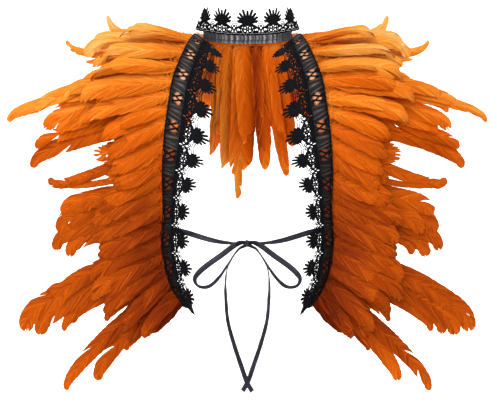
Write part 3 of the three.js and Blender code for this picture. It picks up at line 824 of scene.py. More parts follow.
THREAD_SIDES = 6
PALMETTE_BASE = 37.4
COLLAR_SPIKES = (15.6, 18.4, 20.4, 22.6, 19.6, 22.6, 20.4, 18.4, 15.6)
FRONT_SPIKES = (12.0, 14.2, 16.8, 19.4, 22.6, 21.0, 18.4, 15.6, 12.6)
COLLAR_WEIGHT = 1.2
FRONT_WEIGHT = 1.35
HEADING_BARS = 8
BAND_TICKS = 6

# Rings beside the palmette's foot: outward, upward, half width, height over width, half width of the cord
FLOWER_RINGS = ((11.6, 4.3, 4.6, 0.78, 1.0), (3.6, 3.3, 2.5, 0.9, 0.95), (3.4, 7.6, 2.3, 0.85, 0.95))

# The end leaf's line: short of the rail's end, and across the trim
END_LEAF = ((20, 36), (12, 42), (6, 48), (2, 55), (0.5, 62))


def thread(path, half_width, half_height, level=0.0, closed=False):
    """A round-sided cord along a flat path, whose half width is one number or one for each point."""
    path = array(path)
    count = len(path)
    halves = np.broadcast_to(array(half_width), (count,))
    if closed:
        heading = np.roll(path, -1, 0) - np.roll(path, 1, 0)
    else:
        heading = np.gradient(path, axis=0)
    heading = unit(heading)
    sideways = np.stack([-heading[:, 1], heading[:, 0]], axis=1)
    turn = np.arange(THREAD_SIDES) * 2 * math.pi / THREAD_SIDES
    flat = path[:, None, :] + sideways[:, None, :] * (halves[:, None] * np.cos(turn))[..., None]
    rise = level + np.sin(turn)[None, :] * half_height * np.sqrt(halves / halves.max())[:, None]
    points = np.concatenate([flat, rise[..., None]], axis=2).reshape(-1, 3)
    lengths = arc_lengths(path)
    around = np.tile(turn / (2 * math.pi), count) * 0.2
    uv = np.stack([np.repeat(lengths, THREAD_SIDES) / 10, around], axis=1)
    corner = np.arange(THREAD_SIDES)
    following = (corner + 1) % THREAD_SIDES
    rows = count if closed else count - 1
    faces = []
    for row in range(rows):
        here = row * THREAD_SIDES
        there = ((row + 1) % count) * THREAD_SIDES
        faces.append(np.stack([here + corner, here + following, there + following, there + corner], axis=1))
    caps = [] if closed else [corner[None, ::-1], (count - 1) * THREAD_SIDES + corner[None, :]]
    return points, np.concatenate(faces), caps, uv


def arc(centre, reach, first, last, steps, squeeze=1.0):
    """Points of an arc in degrees; squeeze is its height over its width."""
    angles = np.radians(np.linspace(first, last, steps))
    points = [centre[0] + reach * np.cos(angles), centre[1] + reach * squeeze * np.sin(angles)]
    return np.stack(points, axis=1)


def ring(centre, reach, squeeze, half_width, half_height, level=0.0):
    circle = arc(centre, reach, 0, 330, 12, squeeze)
    return thread(circle, half_width, half_height, level, closed=True)


def petal(centre, angle, near, far, half_width):
    """One round-ended spike of a palmette, thickest past its middle."""
    shares = array((0, 0.25, 0.5, 0.75, 0.92, 1.0))
    reach = near + (far - near) * shares
    line = np.stack([centre[0] + reach * math.cos(angle), centre[1] + reach * math.sin(angle)], axis=1)
    return thread(line, half_width * array((0.7, 0.9, 1.0, 1.0, 0.9, 0.55)), 0.95)


def net_threads(weight, spikes):
    """One repeat of the lace: heading cords, scrolls, four-petalled flower, arches, links and palmette."""
    made = []
    centre = COLLAR_REPEAT / 2
    foot = LACE_START + 2.9

    def cord(points, half, height, level=0.0):
        made.append(thread(points, half * weight, height, level))

    for across, half in ((LACE_START + 0.5, 1.1), (foot, 0.8)):
        cord([(x, across) for x in np.linspace(0, 1, 9) * COLLAR_REPEAT], half, 0.6)
    for bar in range(HEADING_BARS):
        along = (bar + 0.5) * COLLAR_REPEAT / HEADING_BARS
        cord([(along, LACE_START + 0.7), (along, foot)], 0.45, 0.4)
    for side in (-1, 1):
        for out, up, reach, squeeze, half in FLOWER_RINGS:
            made.append(ring((centre + side * out, foot + up), reach, squeeze, half * weight, 0.8, 0.1))
        scroll = arc((centre + side * 11.6, foot + 4.3), 2.0, 90, 90 + side * 290, 10, 0.9)
        cord(scroll, np.linspace(0.9, 0.6, 10), 0.6, 0.2)
        stem = ((19.3, 0), (18.4, 5), (15.6, 8.6))
        cord([(centre + side * out, foot + up) for out, up in stem], 0.9, 0.6)
        made.append(ring((centre + side * 17.0, foot + 9.6), 1.9, 0.9, 0.7 * weight, 0.6))
        for low, high in ((37.6, 41.5), (40.4, 44.8)):
            link = ((8, high), (13, (low + high) / 2 - 0.6), (19.35, low))
            cord([(centre + side * out, across) for out, across in link], 0.5, 0.5)
    made.append(ring((centre, foot + 5.6), 1.5, 0.9, 0.8 * weight, 0.8, 0.3))
    cord(arc((centre, foot + 5.4), 12.2, 4, 176, 15, 0.56), 1.9, 1.0)
    cord(arc((centre, foot + 3.4), 16.0, 16, 164, 15, 0.6), 0.7, 0.6)
    for number, far in enumerate(spikes):
        angle = math.radians(18 + 18 * number)
        made.append(petal((centre, PALMETTE_BASE), angle, 2.0, far, 2.0))
    for rise, wide in ((0.6, 7.6), (3.6, 6.6), (6.8, 4.2)):
        bow = ((-wide, 0), (-wide / 2, 0.9), (0, 1.2), (wide / 2, 0.9), (wide, 0))
        line = [(centre + out, PALMETTE_BASE + rise + up) for out, up in bow]
        made.append(thread(line, array((1.0, 1.8, 2.1, 1.8, 1.0)), 1.0))
    return made


def end_leaf():
    """The leaf that ends a front's lace in a point: two broad cords side by side."""
    line = [(RAIL_LENGTH - short, across) for short, across in END_LEAF]
    edge = [(along, across - 10) for along, across in line]
    return [thread(line, array((2.0, 5.0, 5.2, 3.4, 0.6)), 1.2), thread(edge, 3.4, 1.1)]


def band_threads():
    """One repeat of the band's cords: a smooth one at each edge, ticks, and threads laced over a window."""
    made = []
    for across, half in ((-0.1, 0.85), (BAND_WIDTH - 0.4, 0.75)):
        made.append(thread([(x, across) for x in np.linspace(0, 1, 9) * TRIM_REPEAT], half, 0.9, 0.8))
    for tick in range(BAND_TICKS):
        along = (tick + 0.5) * TRIM_REPEAT / BAND_TICKS
        made.append(thread([(along, -0.4), (along + 0.5, -1.9)], 0.5, 0.5, 0.6))
        made.append(thread([(along, BAND_WIDTH - 1.8), (along, BAND_WIDTH + 0.6)], 0.45, 0.6, 1.1))
    centre = TRIM_REPEAT / 2
    for lean, shift in ((-1, -3.8), (-1, 3.4), (1, -0.4)):
        reach = np.linspace(-1, 1, 5)
        along = centre + shift + lean * reach * 4.2
        across = BAND_WIDTH / 2 + reach * 7.6 + 0.5 * np.sin(3 * reach + shift)
        line = np.stack([along, across], axis=1)
        made.append(thread(line, array((1.4, 1.2, 1.1, 1.2, 1.4)), 0.6, 1.5 + 0.25 * lean))
    return made


def repeated(threads, surface, repeats, repeat, side):
    """Lays one repeat of threads again and again along a surface, and joins them."""
    points, faces, uvs = [], [], []
    total = 0
    for piece_points, quads, caps, uv in threads:
        for turn in range(repeats):
            points.append(piece_points + (turn * repeat, 0, 0))
            faces += [face + total for face in (quads, *caps)]
            uvs.append(uv)
            total += len(piece_points)
    flat = np.concatenate(points)
    laid = surface(np.clip(flat[:, 0], 0, repeats * repeat), flat[:, 1], flat[:, 2])
    return sided(laid, side), [face[:, ::-side] for face in faces], np.concatenate(uvs)


class CAPE_OT_lace(bpy.types.Operator):
    """Lays the black lace of the collar and of both fronts"""

    bl_idname = "cape.lace"
    bl_label = "Lace"

    def execute(self, context):
        material = lace_material("guipure_lace_rayon", context.scene.cape_trim)
        net = net_threads(COLLAR_WEIGHT, COLLAR_SPIKES)
        collar = repeated(net, collar_surface, COLLAR_REPEATS, COLLAR_REPEAT, -1)
        finish_piece(mesh_piece("collar_lace_cords", *collar), material, ["collar_lace"])
        net = net_threads(FRONT_WEIGHT, FRONT_SPIKES)
        for side, word in SIDES:
            front = repeated(net, trim_surface, TRIM_REPEATS, TRIM_REPEAT, side)
            name = "front_lace_cords_" + word
            finish_piece(mesh_piece(name, *front), material, ["front_lace_" + word])
            leaf = repeated(end_leaf(), trim_surface, 1, RAIL_LENGTH, side)
            finish_piece(mesh_piece("front_lace_leaf_" + word, *leaf), material)
        return {"FINISHED"}


# Feathers. Each one is a shaft with locks of barbs on both sides, on a curve from its root to its tip

VANE_STATIONS = array((0, 0.14, 0.36, 0.62, 0.86, 1))
POINTED_VANE = array((0.34, 0.62, 0.88, 0.94, 0.60, 0.16))
BLUNT_VANE = array((0.34, 0.62, 0.90, 1.00, 0.98, 0.74))
LOCK_SHARES = array((0, 0.2, 0.42, 0.65, 0.86, 1.0))
LOCK_BREADTH = array((0.85, 1.05, 1.05, 1.0, 0.8, 0.0))
VANE_CUP = 0.11
DOWN_STATIONS = 5
LINE_SAMPLES = 61
FIRST_LOCK = 0.07
LAST_LOCK = 0.985
LOCK_WIDTH = 0.78
DARK_STREAKS = 0.12
LIGHT_STREAKS = 0.9
STREAK_TONE = 0.08
# The backing strips are painted darker than the feathers, as painted shade under the tape and bands
STRIP_SHADE = -0.1


def bezier(points, t):
    t = t[..., None]
    a, b, c, d = points
    return (1 - t) ** 3 * a + 3 * (1 - t) ** 2 * t * b + 3 * (1 - t) * t**2 * c + t**3 * d


def at_shares(table, shares, grid):
    """The rows of a table of points or directions, at every one of a block of shares."""
    return sampled(table, shares.ravel(), grid).reshape(*shares.shape, 3)


def ladder(base, rungs):
    """The quads between pairs of points that follow one another from each base on."""
    return np.concatenate([base + 2 * rung + np.array((0, 1, 3, 2)) for rung in range(rungs)])


class FeatherHeap:
    """Gathers the feathers of one piece, and makes the piece."""

    def __init__(self, spacing):
        self.spacing = spacing
        self.points = []
        self.faces = []
        self.uvs = []
        self.tones = []
        self.total = 0

    def add(self, points, faces, uv, tone):
        """Takes up one mesh, whose tone is added to the dye and painted shading at each point."""
        self.points.append(points)
        self.faces += [face + self.total for face in faces]
        self.uvs.append(uv)
        self.tones.append(tone + dye_and_shading_at(points))
        self.total += len(points)

    def feather(self, line, wide, blunt, facing, tone, frayed, draw, slim=0):
        """One feather on a Bezier line of four points; frayed: 1 for a loose end, slim: 1 for a bare root."""
        grid = np.linspace(0, 1, LINE_SAMPLES)
        centre = bezier(line, grid)
        along = arc_lengths(centre)
        length = along[-1]
        tangent = unit(np.gradient(centre, along, axis=0))
        turn = draw.uniform(-0.35, 0.35) * (grid - 0.3)
        across = unit(np.cross(tangent, facing))
        normal = unit(np.cross(across, tangent))
        swing_a = across * np.cos(turn)[:, None] + normal * np.sin(turn)[:, None]
        swing_n = normal * np.cos(turn)[:, None] - across * np.sin(turn)[:, None]
        breadth = POINTED_VANE + (BLUNT_VANE - POINTED_VANE) * blunt
        breadth = breadth * (1 - slim * array((0.8, 0.5, 0.12, 0, 0, 0)))
        half = wide / 2
        locks = max(8, int(length * 0.9 / self.spacing))
        sweep = (1.6 * half + 12) / length
        for side in (-1, 1):
            # Where each lock leaves the shaft, and which tuft of the split vane it belongs to
            start = np.linspace(FIRST_LOCK, LAST_LOCK, locks) + draw.uniform(-0.3, 0.3, locks) / locks
            marks = np.sort(draw.uniform(0.15, 1.0, draw.integers(1, 4)))
            edges = np.concatenate([[0], marks, [1.05]])
            group = np.clip(np.searchsorted(edges, start) - 1, 0, len(edges) - 2)
            middle = (edges[group] + edges[group + 1]) / 2
            # Where each lock ends: swept forward, drawn to its tuft's middle, and rounded at the tip
            pull = draw.uniform(0.0, 0.32, len(edges))[group]
            stop = start + sweep * draw.uniform(0.92, 1.08, locks) - pull * (start - middle)
            cap = (0.35 + 0.45 * blunt) * half / length
            stop = np.where(start > 0.9, np.minimum(stop, 1 + cap * (start - 0.9) / 0.085), stop)
            stop = np.minimum(stop, 1 + cap)
            within = np.clip(stop, 0, 1)
            beyond = np.clip((stop - 1) / (cap * 1.02), 0, 1)
            edge = np.interp(within, VANE_STATIONS, breadth) * np.sqrt(1 - beyond**2)
            reach = half * edge * (draw.uniform(0.95, 1.03, locks) - frayed * draw.uniform(0, 0.35, locks))
            reach *= draw.uniform(0.93, 1.04, len(edges))[group]
            stop = stop - frayed * draw.uniform(0, 0.22, locks) * smooth(0.45, 0.9, start)
            # The lock's curve: along the shaft, out from it, and cupped down towards the vane's edge
            share = LOCK_SHARES[None, :]
            t = start[:, None] + (stop - start)[:, None] * share
            lateral = reach[:, None] * (1 - (1 - share) ** 1.55)
            lift = draw.uniform(-1.0, 1.4, len(edges))[group][:, None] * share**2 * half / 16
            lift = lift + draw.uniform(-0.3, 0.3, locks)[:, None] * share
            lift = lift - VANE_CUP * 2 * half * (lateral / half) ** 2
            where = np.clip(t, 0, 1)
            out = at_shares(swing_a, where, grid) * side
            up = at_shares(swing_n, where, grid)
            ahead = at_shares(tangent, where, grid) * ((t - where) * length)[..., None]
            path = at_shares(centre, where, grid) + ahead
            phase = draw.uniform(0, 2 * math.pi, len(edges))[group][:, None]
            wave = 0.5 * share * np.sin(share * 6.5 + phase + start[:, None] * 5)
            path = path + out * (lateral + wave)[..., None] + up * lift[..., None]
            # A narrow blade along that curve, which ends in a point
            heading = unit(np.gradient(path, axis=1))
            edgewise = unit(np.cross(heading, up))
            widths = draw.uniform(0.8, 1.25, locks)[:, None]
            broad = self.spacing * LOCK_WIDTH * LOCK_BREADTH[None, :] * widths
            tilt = draw.uniform(-0.1, 0.5, locks)[:, None] * LOCK_BREADTH[None, :]
            offset = edgewise * broad[..., None] + up * (tilt * side)[..., None]
            pair = np.stack([path + offset, path - offset], axis=2)
            points = pair.reshape(locks, -1, 3)[:, :-1]
            stations = len(LOCK_SHARES)
            base = (np.arange(locks) * (2 * stations - 1))[:, None]
            tips = base + 2 * (stations - 2) + np.arange(3)
            faces = [ladder(base, stations - 2)[:, ::-side], tips[:, ::-side]]
            # Its place in the pattern, and its tone
            stripe = draw.uniform(0, 40, locks)[:, None]
            wide_uv = stripe + np.tile([0, 0.3], stations)[None, :-1]
            long_uv = np.repeat(t * length / 10, 2, axis=1)[:, :-1]
            uv = np.stack([wide_uv.ravel(), long_uv.ravel()], axis=1)
            drift = np.interp(start, np.linspace(0, 1, 9), draw.uniform(-0.05, 0.05, 9))
            chance = draw.uniform(0, 1, locks)
            light = np.where(chance > LIGHT_STREAKS, STREAK_TONE, 0.0)
            streak = np.where(chance < DARK_STREAKS, -STREAK_TONE, light)
            shade = tone + drift + streak + draw.uniform(-0.04, 0.04, locks)
            fade = -0.04 * (1 - smooth(0.0, 0.3, t)) + 0.03 * smooth(0.5, 1.0, t)
            tones = np.repeat(shade[:, None] + fade, 2, axis=1)[:, :-1]
            self.add(points.reshape(-1, 3), faces, uv, tones.ravel())
        self.shaft(centre, swing_a, swing_n, length, tone, grid)
        self.down(centre, swing_a, swing_n, half, length, tone, draw)

    def shaft(self, centre, across, normal, length, tone, grid):
        """The quill: a thin three-sided rod."""
        pick = np.linspace(0, LINE_SAMPLES - 4, 12).astype(int)
        thick = (0.75 * (1 - grid[pick]) + 0.12)[:, None]
        ring_points = [
            centre[pick] + normal[pick] * thick * 1.1,
            centre[pick] + across[pick] * thick - normal[pick] * thick * 0.4,
            centre[pick] - across[pick] * thick - normal[pick] * thick * 0.4,
        ]
        points = np.stack(ring_points, axis=1).reshape(-1, 3)
        faces = []
        for k in range(len(pick) - 1):
            for side in range(3):
                a = 3 * k + side
                b = 3 * k + (side + 1) % 3
                faces.append((a, b, b + 3, a + 3))
        uv = np.stack([np.tile([0, 0.03, 0.06], len(pick)), np.repeat(grid[pick] * length / 10, 3)], axis=1)
        ends = [array([[2, 1, 0]]).astype(int), array([[0, 1, 2]]).astype(int) + 3 * (len(pick) - 1)]
        self.add(points, [array(faces).astype(int), *ends], uv, np.full(len(points), tone + 0.1))

    def down(self, centre, across, normal, half, length, tone, draw):
        """Soft curled barbs near the root."""
        count = int(half * 1.6)
        start = draw.uniform(0.03, 0.3, count)
        side = np.where(draw.uniform(0, 1, count) < 0.5, -1.0, 1.0)
        grid = np.linspace(0, 1, len(centre))
        share = np.linspace(0, 1, DOWN_STATIONS)[None, :]
        reach = draw.uniform(0.5, 1.15, count)[:, None] * half
        t = np.clip(start[:, None] + share * (reach * draw.uniform(0.3, 1.2, count)[:, None]) / length, 0, 1)
        out = at_shares(across, t, grid) * side[:, None, None]
        up = at_shares(normal, t, grid)
        curl = draw.uniform(-3, 4.5, count)[:, None] * share**2
        curl = curl + 0.8 * np.sin(share * 9 + start[:, None] * 90)
        path = at_shares(centre, t, grid) + out * (reach * share)[..., None] + up * curl[..., None]
        edgewise = unit(np.cross(unit(np.gradient(path, axis=1)), up))
        offset = edgewise * (0.55 * (1 - 0.8 * share))[..., None]
        points = np.stack([path + offset, path - offset], axis=2).reshape(-1, 3)
        base = (np.arange(count) * 2 * DOWN_STATIONS)[:, None]
        uv = np.stack([
            np.tile([0, 0.1], count * DOWN_STATIONS), np.repeat(t.ravel() * length / 10, 2)
        ], axis=1)
        self.add(points, [ladder(base, DOWN_STATIONS - 1)], uv, np.full(len(points), tone + 0.06))

    def strip(self, points, tone):
        """The backing strip that the feathers are sewn to; points has its two edges as rows."""
        count = points.shape[1]
        k = np.arange(count - 1)
        faces = np.stack([k, k + 1, k + 1 + count, k + count], axis=1)
        flat = points.reshape(-1, 3)
        uv = np.stack([np.repeat([0, 1], count), np.tile(np.arange(count) * 0.3, 2)], axis=1).astype(float)
        self.add(flat, [faces], uv, np.full(len(flat), tone))

    def piece(self, name, side):
        """Makes the piece, turned over for the left side."""
        points = sided(np.concatenate(self.points), side)
        faces = [face[:, ::-side] for face in self.faces]
        return mesh_piece(name, points, faces, np.concatenate(self.uvs), {"tone": np.concatenate(self.tones)})


# Sewing: shift of a companion along its strip, its drop and flatness at the neck, and its change of tone
COMPANION_SHIFT = 9
COMPANION_TURN = 4
COMPANION_DROP = 44
COMPANION_ARCH = 0.3
TONE_CHANGE = 0.05

# Rootlets: least width, width over the gap that they close, length over the listed feathers'
ROOTLET_LEAST = 26
ROOTLET_COVER = 1.5
ROOTLET_LENGTH = 0.5

# The strips' edges: above and below the row at the neck, across the trim at the fronts
NECK_STRIP_EDGES = (-3, 3)
FRONT_STRIP_EDGES = (0.3, 6.0)
SLOPE_SPAN = 70


def drape_depth(height):
    """The depth of the shoulder and chest that the front feathers lie on, at a height."""
    rows = array(DRAPE)[::-1]
    return float(np.interp(height, rows[:, 0], rows[:, 1]))


def drape_slope(height):
    return (drape_depth(height + SLOPE_SPAN / 2) - drape_depth(height - SLOPE_SPAN / 2)) / SLOPE_SPAN


def dye_and_shading_at(points):
    """How golden each place is painted: golden at the top, burnt low down and beside the bands, partly dye
    and partly painted shading.
    """
    rows = array(DYE_AND_SHADING)[::-1]
    height = points[:, 2]
    across = np.abs(points[:, 0])
    fan = smooth(-75, -20, height) * (0.15 * smooth(95, 150, across) - 0.12 * smooth(212, 245, across))
    edges = array(DYE_OUTER)[::-1]
    outer = smooth(170, 300, across) * np.interp(height, edges[:, 0], edges[:, 1])
    # Painted shade low down beside the bands
    beside = (1 - smooth(105, 172, across)) * smooth(-160, -340, height)
    front = np.interp(height, rows[:, 0], rows[:, 1]) + fan + outer - 0.17 * beside
    behind = smooth(48, 70, points[:, 1]) * (1 - smooth(85, 125, across))
    x = points[:, 0]
    # Behind: painted light on the wearer's right, darker on the left, a painted shadow stripe just left of
    # the middle
    side = 0.2 * smooth(0, -50, x) - 0.08 * smooth(20, 45, x) - 0.3 * np.exp(-(((x - 13) / 9) ** 2))
    return front * (1 - behind) + behind * (0.6 + side + 0.12 * smooth(-120, -200, height))


def last_handle(root, lead, tip, swell, arch):
    """The third point of a feather's Bezier line, for a middle that is moved by swell and raised by arch."""
    middle = (root + tip) / 2 + swell + array((0, 0, arch))
    return (8 * middle - 3 * lead - root - tip) / 3


def vary(tip, root, draw, spread, shorten):
    """A companion's tip: turned and shortened about its root, in the plane that faces the front."""
    turn = draw.uniform(-spread, spread)
    reach = tip - root
    x = reach[0] * math.cos(turn) - reach[2] * math.sin(turn)
    z = reach[0] * math.sin(turn) + reach[2] * math.cos(turn)
    return root + array((x, reach[1], z)) * draw.uniform(*shorten)


def companions_of(wide, loose, companions):
    """Narrow feathers of the under row stand alone; each other one has one fewer than the setting."""
    if wide < 25 and not loose:
        return 0
    return max(0, companions - 1)


def front_feathers(heap, table, strip_depth, lift, swell, dive, loose, companions, draw):
    """A front row: the listed feathers, and looser ones sewn beside each of them."""
    for height, x, z, wide, arch, blunt, back in table:
        for companion in range(1 + companions_of(wide, loose, companions)):
            shift = draw.uniform(-COMPANION_SHIFT, COMPANION_SHIFT) if companion else 0
            drop = np.clip(rail_drop(height) + shift, 1, RAIL_LENGTH - 3)
            root, outward, under = trim_surface(
                drop, STRIP_MIDDLE + array((0, -1, 0)), strip_depth + array((0, 0, -dive))
            )
            lead = under + unit(outward - root) * FRONT_LEAD
            tip = array((x, drape_depth(z) - lift + back, z))
            width = wide
            if companion:
                tip = vary(tip, root, draw, 0.05 + 0.07 * loose, (0.72, 0.94 + 0.1 * loose))
                tip[1] += draw.uniform(-5, 5)
                width = wide * draw.uniform(0.65, 1.0)
            angle = math.atan(drape_slope((root[2] + tip[2]) / 2)) + LOUVRE * 0.7 + draw.uniform(-0.15, 0.15)
            facing = array((0, -math.cos(angle), math.sin(angle)))
            handle = last_handle(root, lead, tip, array((0, -swell, 0)), arch)
            tone = draw.uniform(-TONE_CHANGE, TONE_CHANGE)
            heap.feather(array((root, lead, handle, tip)), width, blunt, facing, tone, loose, draw)


def rootlets(table):
    """Short feathers between a row's listed ones, so that the roots show no gap."""
    made = []
    for near, far in zip(table, table[1:]):
        height, x, z = ((a + b) / 2 for a, b in zip(near[:3], far[:3]))
        edge = float(np.interp(-height, -OUTER_RAIL[:, 2], OUTER_RAIL[:, 0]))
        wide = max(ROOTLET_LEAST, ROOTLET_COVER * (near[0] - far[0]))
        tip = (edge + (x - edge) * ROOTLET_LENGTH, height + (z - height) * ROOTLET_LENGTH)
        made.append((height, *tip, wide, 2, 0.8, 3))
    return made


def neck_strip(heap, height, first, last):
    """The strip round the outside of the neck tape, from one turn to another in degrees."""
    turns = np.radians(np.linspace(first, last, 60))
    edges = [neck_surface(turns, height + rise, NECK_STRIP_OUT) for rise in NECK_STRIP_EDGES]
    heap.strip(np.stack(edges), STRIP_SHADE)


def front_strip(heap, depth):
    """The strip behind the outer edge of the right front band."""
    along = np.linspace(0, RAIL_LENGTH - 2, 120)
    edges = [trim_surface(along, across, depth) for across in FRONT_STRIP_EDGES]
    heap.strip(np.stack(edges), STRIP_SHADE)


def neck_feathers(heap, table, row, companions, draw):
    """A row at the neck: the listed feathers, and looser ones sewn beside each of them."""
    height, lead_out, rise, swell, slim, facing_of = row
    for degrees, tip, wide, arch, blunt in table:
        for companion in range(companions + 1):
            turn = math.radians(
                degrees + (draw.uniform(-COMPANION_TURN, COMPANION_TURN) if companion else 0)
            )
            radial = array((-math.cos(turn), math.sin(turn), 0))
            root = neck_surface(array([turn]), height, NECK_STRIP_OUT)[0]
            lead = root + radial * lead_out + array((0, 0, rise))
            end = array(tip)
            width = wide
            if companion:
                end = vary(end, root, draw, 0.09, (0.6, 0.92))
                end += array((0, draw.uniform(-6, 4), -COMPANION_DROP * slim))
                width = wide * draw.uniform(0.7, 1.0)
            raised = arch * (COMPANION_ARCH if companion else 1)
            handle = last_handle(root, lead, end, radial * swell, raised)
            tone = draw.uniform(-TONE_CHANGE, TONE_CHANGE)
            line = array((root, lead, handle, end))
            heap.feather(line, width, blunt, facing_of(turn), tone, 0, draw, slim)


def turned_over(table):
    """A right shoulder row's table as the left one's."""
    return [(180 - turn, (-x, y, z), *rest) for turn, (x, y, z), *rest in reversed(table)]


def facing_up(turn):
    """The shoulder fans face up and forward, wherever they are rooted."""
    return array((0, -0.8, 0.6))


def facing_away(turn):
    """The back rows face away from the neck, each feather a little over its neighbour."""
    return array((-math.cos(turn - LOUVRE), math.sin(turn - LOUVRE), 0.3))


# Each row at the neck: height, lead outward, rise, swell, slimness of its roots, the way it faces
SHOULDER_ROW = (6, 14, -12, 0, 0.6, facing_up)
LONG_ROW = (0, 8, -4, 0, 0, facing_away)
SHORT_ROW = (6, 20, 2, 6, 0, facing_away)

# Seeds of the random draws, so that each run gives the same feathers
FRONT_SEED = 100
NECK_SEED = 300


class CAPE_OT_feathers(bpy.types.Operator):
    """Sews on the rows of feathers: fronts, shoulders and back"""

    bl_idname = "cape.feathers"
    bl_label = "Feathers"

    def execute(self, context):
        settings = context.scene.cape_feathers
        spacing = settings.lock_spacing / MM
        count = settings.companions
        names = {"golden_feather": "golden", "orange_feather": "orange", "burnt_feather": "burnt"}
        looks = {slot: feather_material("dyed_feather_" + word, settings) for slot, word in names.items()}
        # Each front row's facts: strip depth, lift off the drape, swell, dive of its roots, looseness
        rows = (
            ("under", "burnt_feather", FRONT_UNDER, (UNDER_DEPTH, 0, -4, 11, 0)),
            ("over", "orange_feather", FRONT_OVER, (OVER_DEPTH, 22, 4, 7.6, 0.35)),
        )
        for side, word in SIDES:
            for number, (row, slot, table, facts) in enumerate(rows):
                draw = np.random.default_rng(FRONT_SEED + number * 10 + (side > 0))
                heap = FeatherHeap(spacing)
                front_strip(heap, facts[0])
                if row == "under":
                    front_feathers(heap, rootlets(table), *facts, 0, draw)
                front_feathers(heap, table, *facts, count, draw)
                name = "feathers_front_" + row + "_" + word
                finish_piece(heap.piece(name.replace("feathers", "plumes"), side), looks[slot], [name])
        draw = np.random.default_rng(NECK_SEED)
        upper = FeatherHeap(spacing)
        neck_strip(upper, SHOULDER_ROW[0], 15, 165)
        neck_feathers(upper, SHOULDER, SHOULDER_ROW, count + 1, draw)
        neck_feathers(upper, BACK_SHORT, SHORT_ROW, count, draw)
        neck_feathers(upper, turned_over(SHOULDER), SHOULDER_ROW, count + 1, draw)
        piece = upper.piece("plumes_neck_upper", -1)
        finish_piece(piece, looks["golden_feather"], ["feathers_neck_upper"])
        lower = FeatherHeap(spacing)
        neck_strip(lower, LONG_ROW[0], 31, 149)
        neck_feathers(lower, BACK_LONG, LONG_ROW, count, draw)
        piece = lower.piece("plumes_neck_lower", -1)
        finish_piece(piece, looks["orange_feather"], ["feathers_neck_lower"])
        return {"FINISHED"}


# Camera, lights and floor

CAMERA_PLACE = (0.0014, -1.7, -0.2275)
VIEW_WIDTH = 497 * 1.4 * MM
SENSOR = 36.0
FLOOR_HEIGHT = -0.56
FLOOR_SHARE = 0.45
BEND_SHARE = 0.3
FLOOR_FRONT = -2.6
FLOOR_STRETCH = 10.2
BACKDROP_BEND = 1.6
BACKDROP_STRETCH = 12
BACKDROP_WIDTH = 10
WORLD_STRENGTH = 0.72

# Each light: place, width, power, turn in degrees
LIGHTS = (
    ("key", (-1.0, -1.9, 1.5), 1.2, 22, (50, 0, -28)),
    ("front", (-0.3, -2.3, 0.3), 0.8, 15, (77, 0, -7)),
    ("backdrop", (0, 1.1, 1.4), 2.4, 110, (55, 0, 0)),
)


class CAPE_OT_camera(bpy.types.Operator):
    """Sets the camera straight in front, as far off as the photograph's"""

    bl_idname = "cape.camera"
    bl_label = "Camera"

    def execute(self, context):
        deselect()
        bpy.ops.object.camera_add(location=CAMERA_PLACE, rotation=(math.pi / 2, 0, 0))
        camera = context.object
        camera.data.sensor_fit = "HORIZONTAL"
        camera.data.sensor_width = SENSOR
        camera.data.lens = SENSOR * abs(CAMERA_PLACE[1]) / VIEW_WIDTH
        camera.data.clip_end = 20
        context.scene.camera = camera
        return {"FINISHED"}


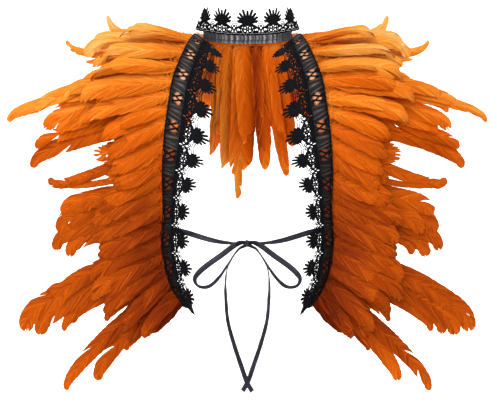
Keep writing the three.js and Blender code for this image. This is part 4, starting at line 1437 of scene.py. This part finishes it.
class CAPE_OT_stage(bpy.types.Operator):
    """Puts up the pale floor and backdrop and the soft studio lights"""

    bl_idname = "cape.stage"
    bl_label = "Stage"

    def execute(self, context):

        def place(u, v):
            turned = np.clip((v - FLOOR_SHARE) / BEND_SHARE, 0, 1) * math.pi / 2
            flat = np.minimum(v, FLOOR_SHARE) * FLOOR_STRETCH + FLOOR_FRONT
            y = flat + BACKDROP_BEND * np.sin(turned)
            wall = np.maximum(0, v - FLOOR_SHARE - BEND_SHARE) * BACKDROP_STRETCH
            z = FLOOR_HEIGHT + BACKDROP_BEND * (1 - np.cos(turned)) + wall
            return np.stack([(u - 0.5) * BACKDROP_WIDTH, y, z], axis=1) / MM

        floor = laid_grid("floor", 2, 60, place)
        floor.data.materials.append(paint_material("matt_white_paint", linear("#fbfaf8")))
        for name, spot, size, power, turn in LIGHTS:
            deselect()
            bpy.ops.object.light_add(type="AREA", location=spot, rotation=np.radians(turn))
            light = context.object
            light.name = name
            light.data.size = size
            light.data.energy = power
        world = bpy.data.worlds.new("studio")
        world.use_nodes = True
        background = world.node_tree.nodes["Background"]
        background.inputs["Color"].default_value = (1, 1, 1, 1)
        background.inputs["Strength"].default_value = WORLD_STRENGTH
        context.scene.world = world
        context.scene.view_settings.view_transform = "Standard"
        return {"FINISHED"}


class CAPE_PT_panel(bpy.types.Panel):
    bl_label = "Feather cape"
    bl_idname = "CAPE_PT_panel"
    bl_space_type = "VIEW_3D"
    bl_region_type = "UI"
    bl_category = "Cape"

    def draw(self, context):
        for group in (context.scene.cape_feathers, context.scene.cape_trim):
            for key in group.bl_rna.properties.keys():
                if key not in ("rna_type", "name"):
                    self.layout.prop(group, key)
        for operator in OPERATORS:
            self.layout.operator(operator.bl_idname)


OPERATORS = (
    CAPE_OT_camera,
    CAPE_OT_ribbons,
    CAPE_OT_neck_tape,
    CAPE_OT_front_bands,
    CAPE_OT_lace,
    CAPE_OT_feathers,
    CAPE_OT_stage,
)
CLASSES = (CapeFeatherSettings, CapeTrimSettings, *OPERATORS, CAPE_PT_panel)


def register():
    for kind in CLASSES:
        bpy.utils.register_class(kind)
    bpy.types.Scene.cape_feathers = bpy.props.PointerProperty(type=CapeFeatherSettings)
    bpy.types.Scene.cape_trim = bpy.props.PointerProperty(type=CapeTrimSettings)


def unregister():
    del bpy.types.Scene.cape_trim
    del bpy.types.Scene.cape_feathers
    for kind in reversed(CLASSES):
        bpy.utils.unregister_class(kind)


def main():
    register()
    for operator in OPERATORS:
        group, name = operator.bl_idname.split(".")
        getattr(getattr(bpy.ops, group), name)()


if __name__ == "__main__":
    main()
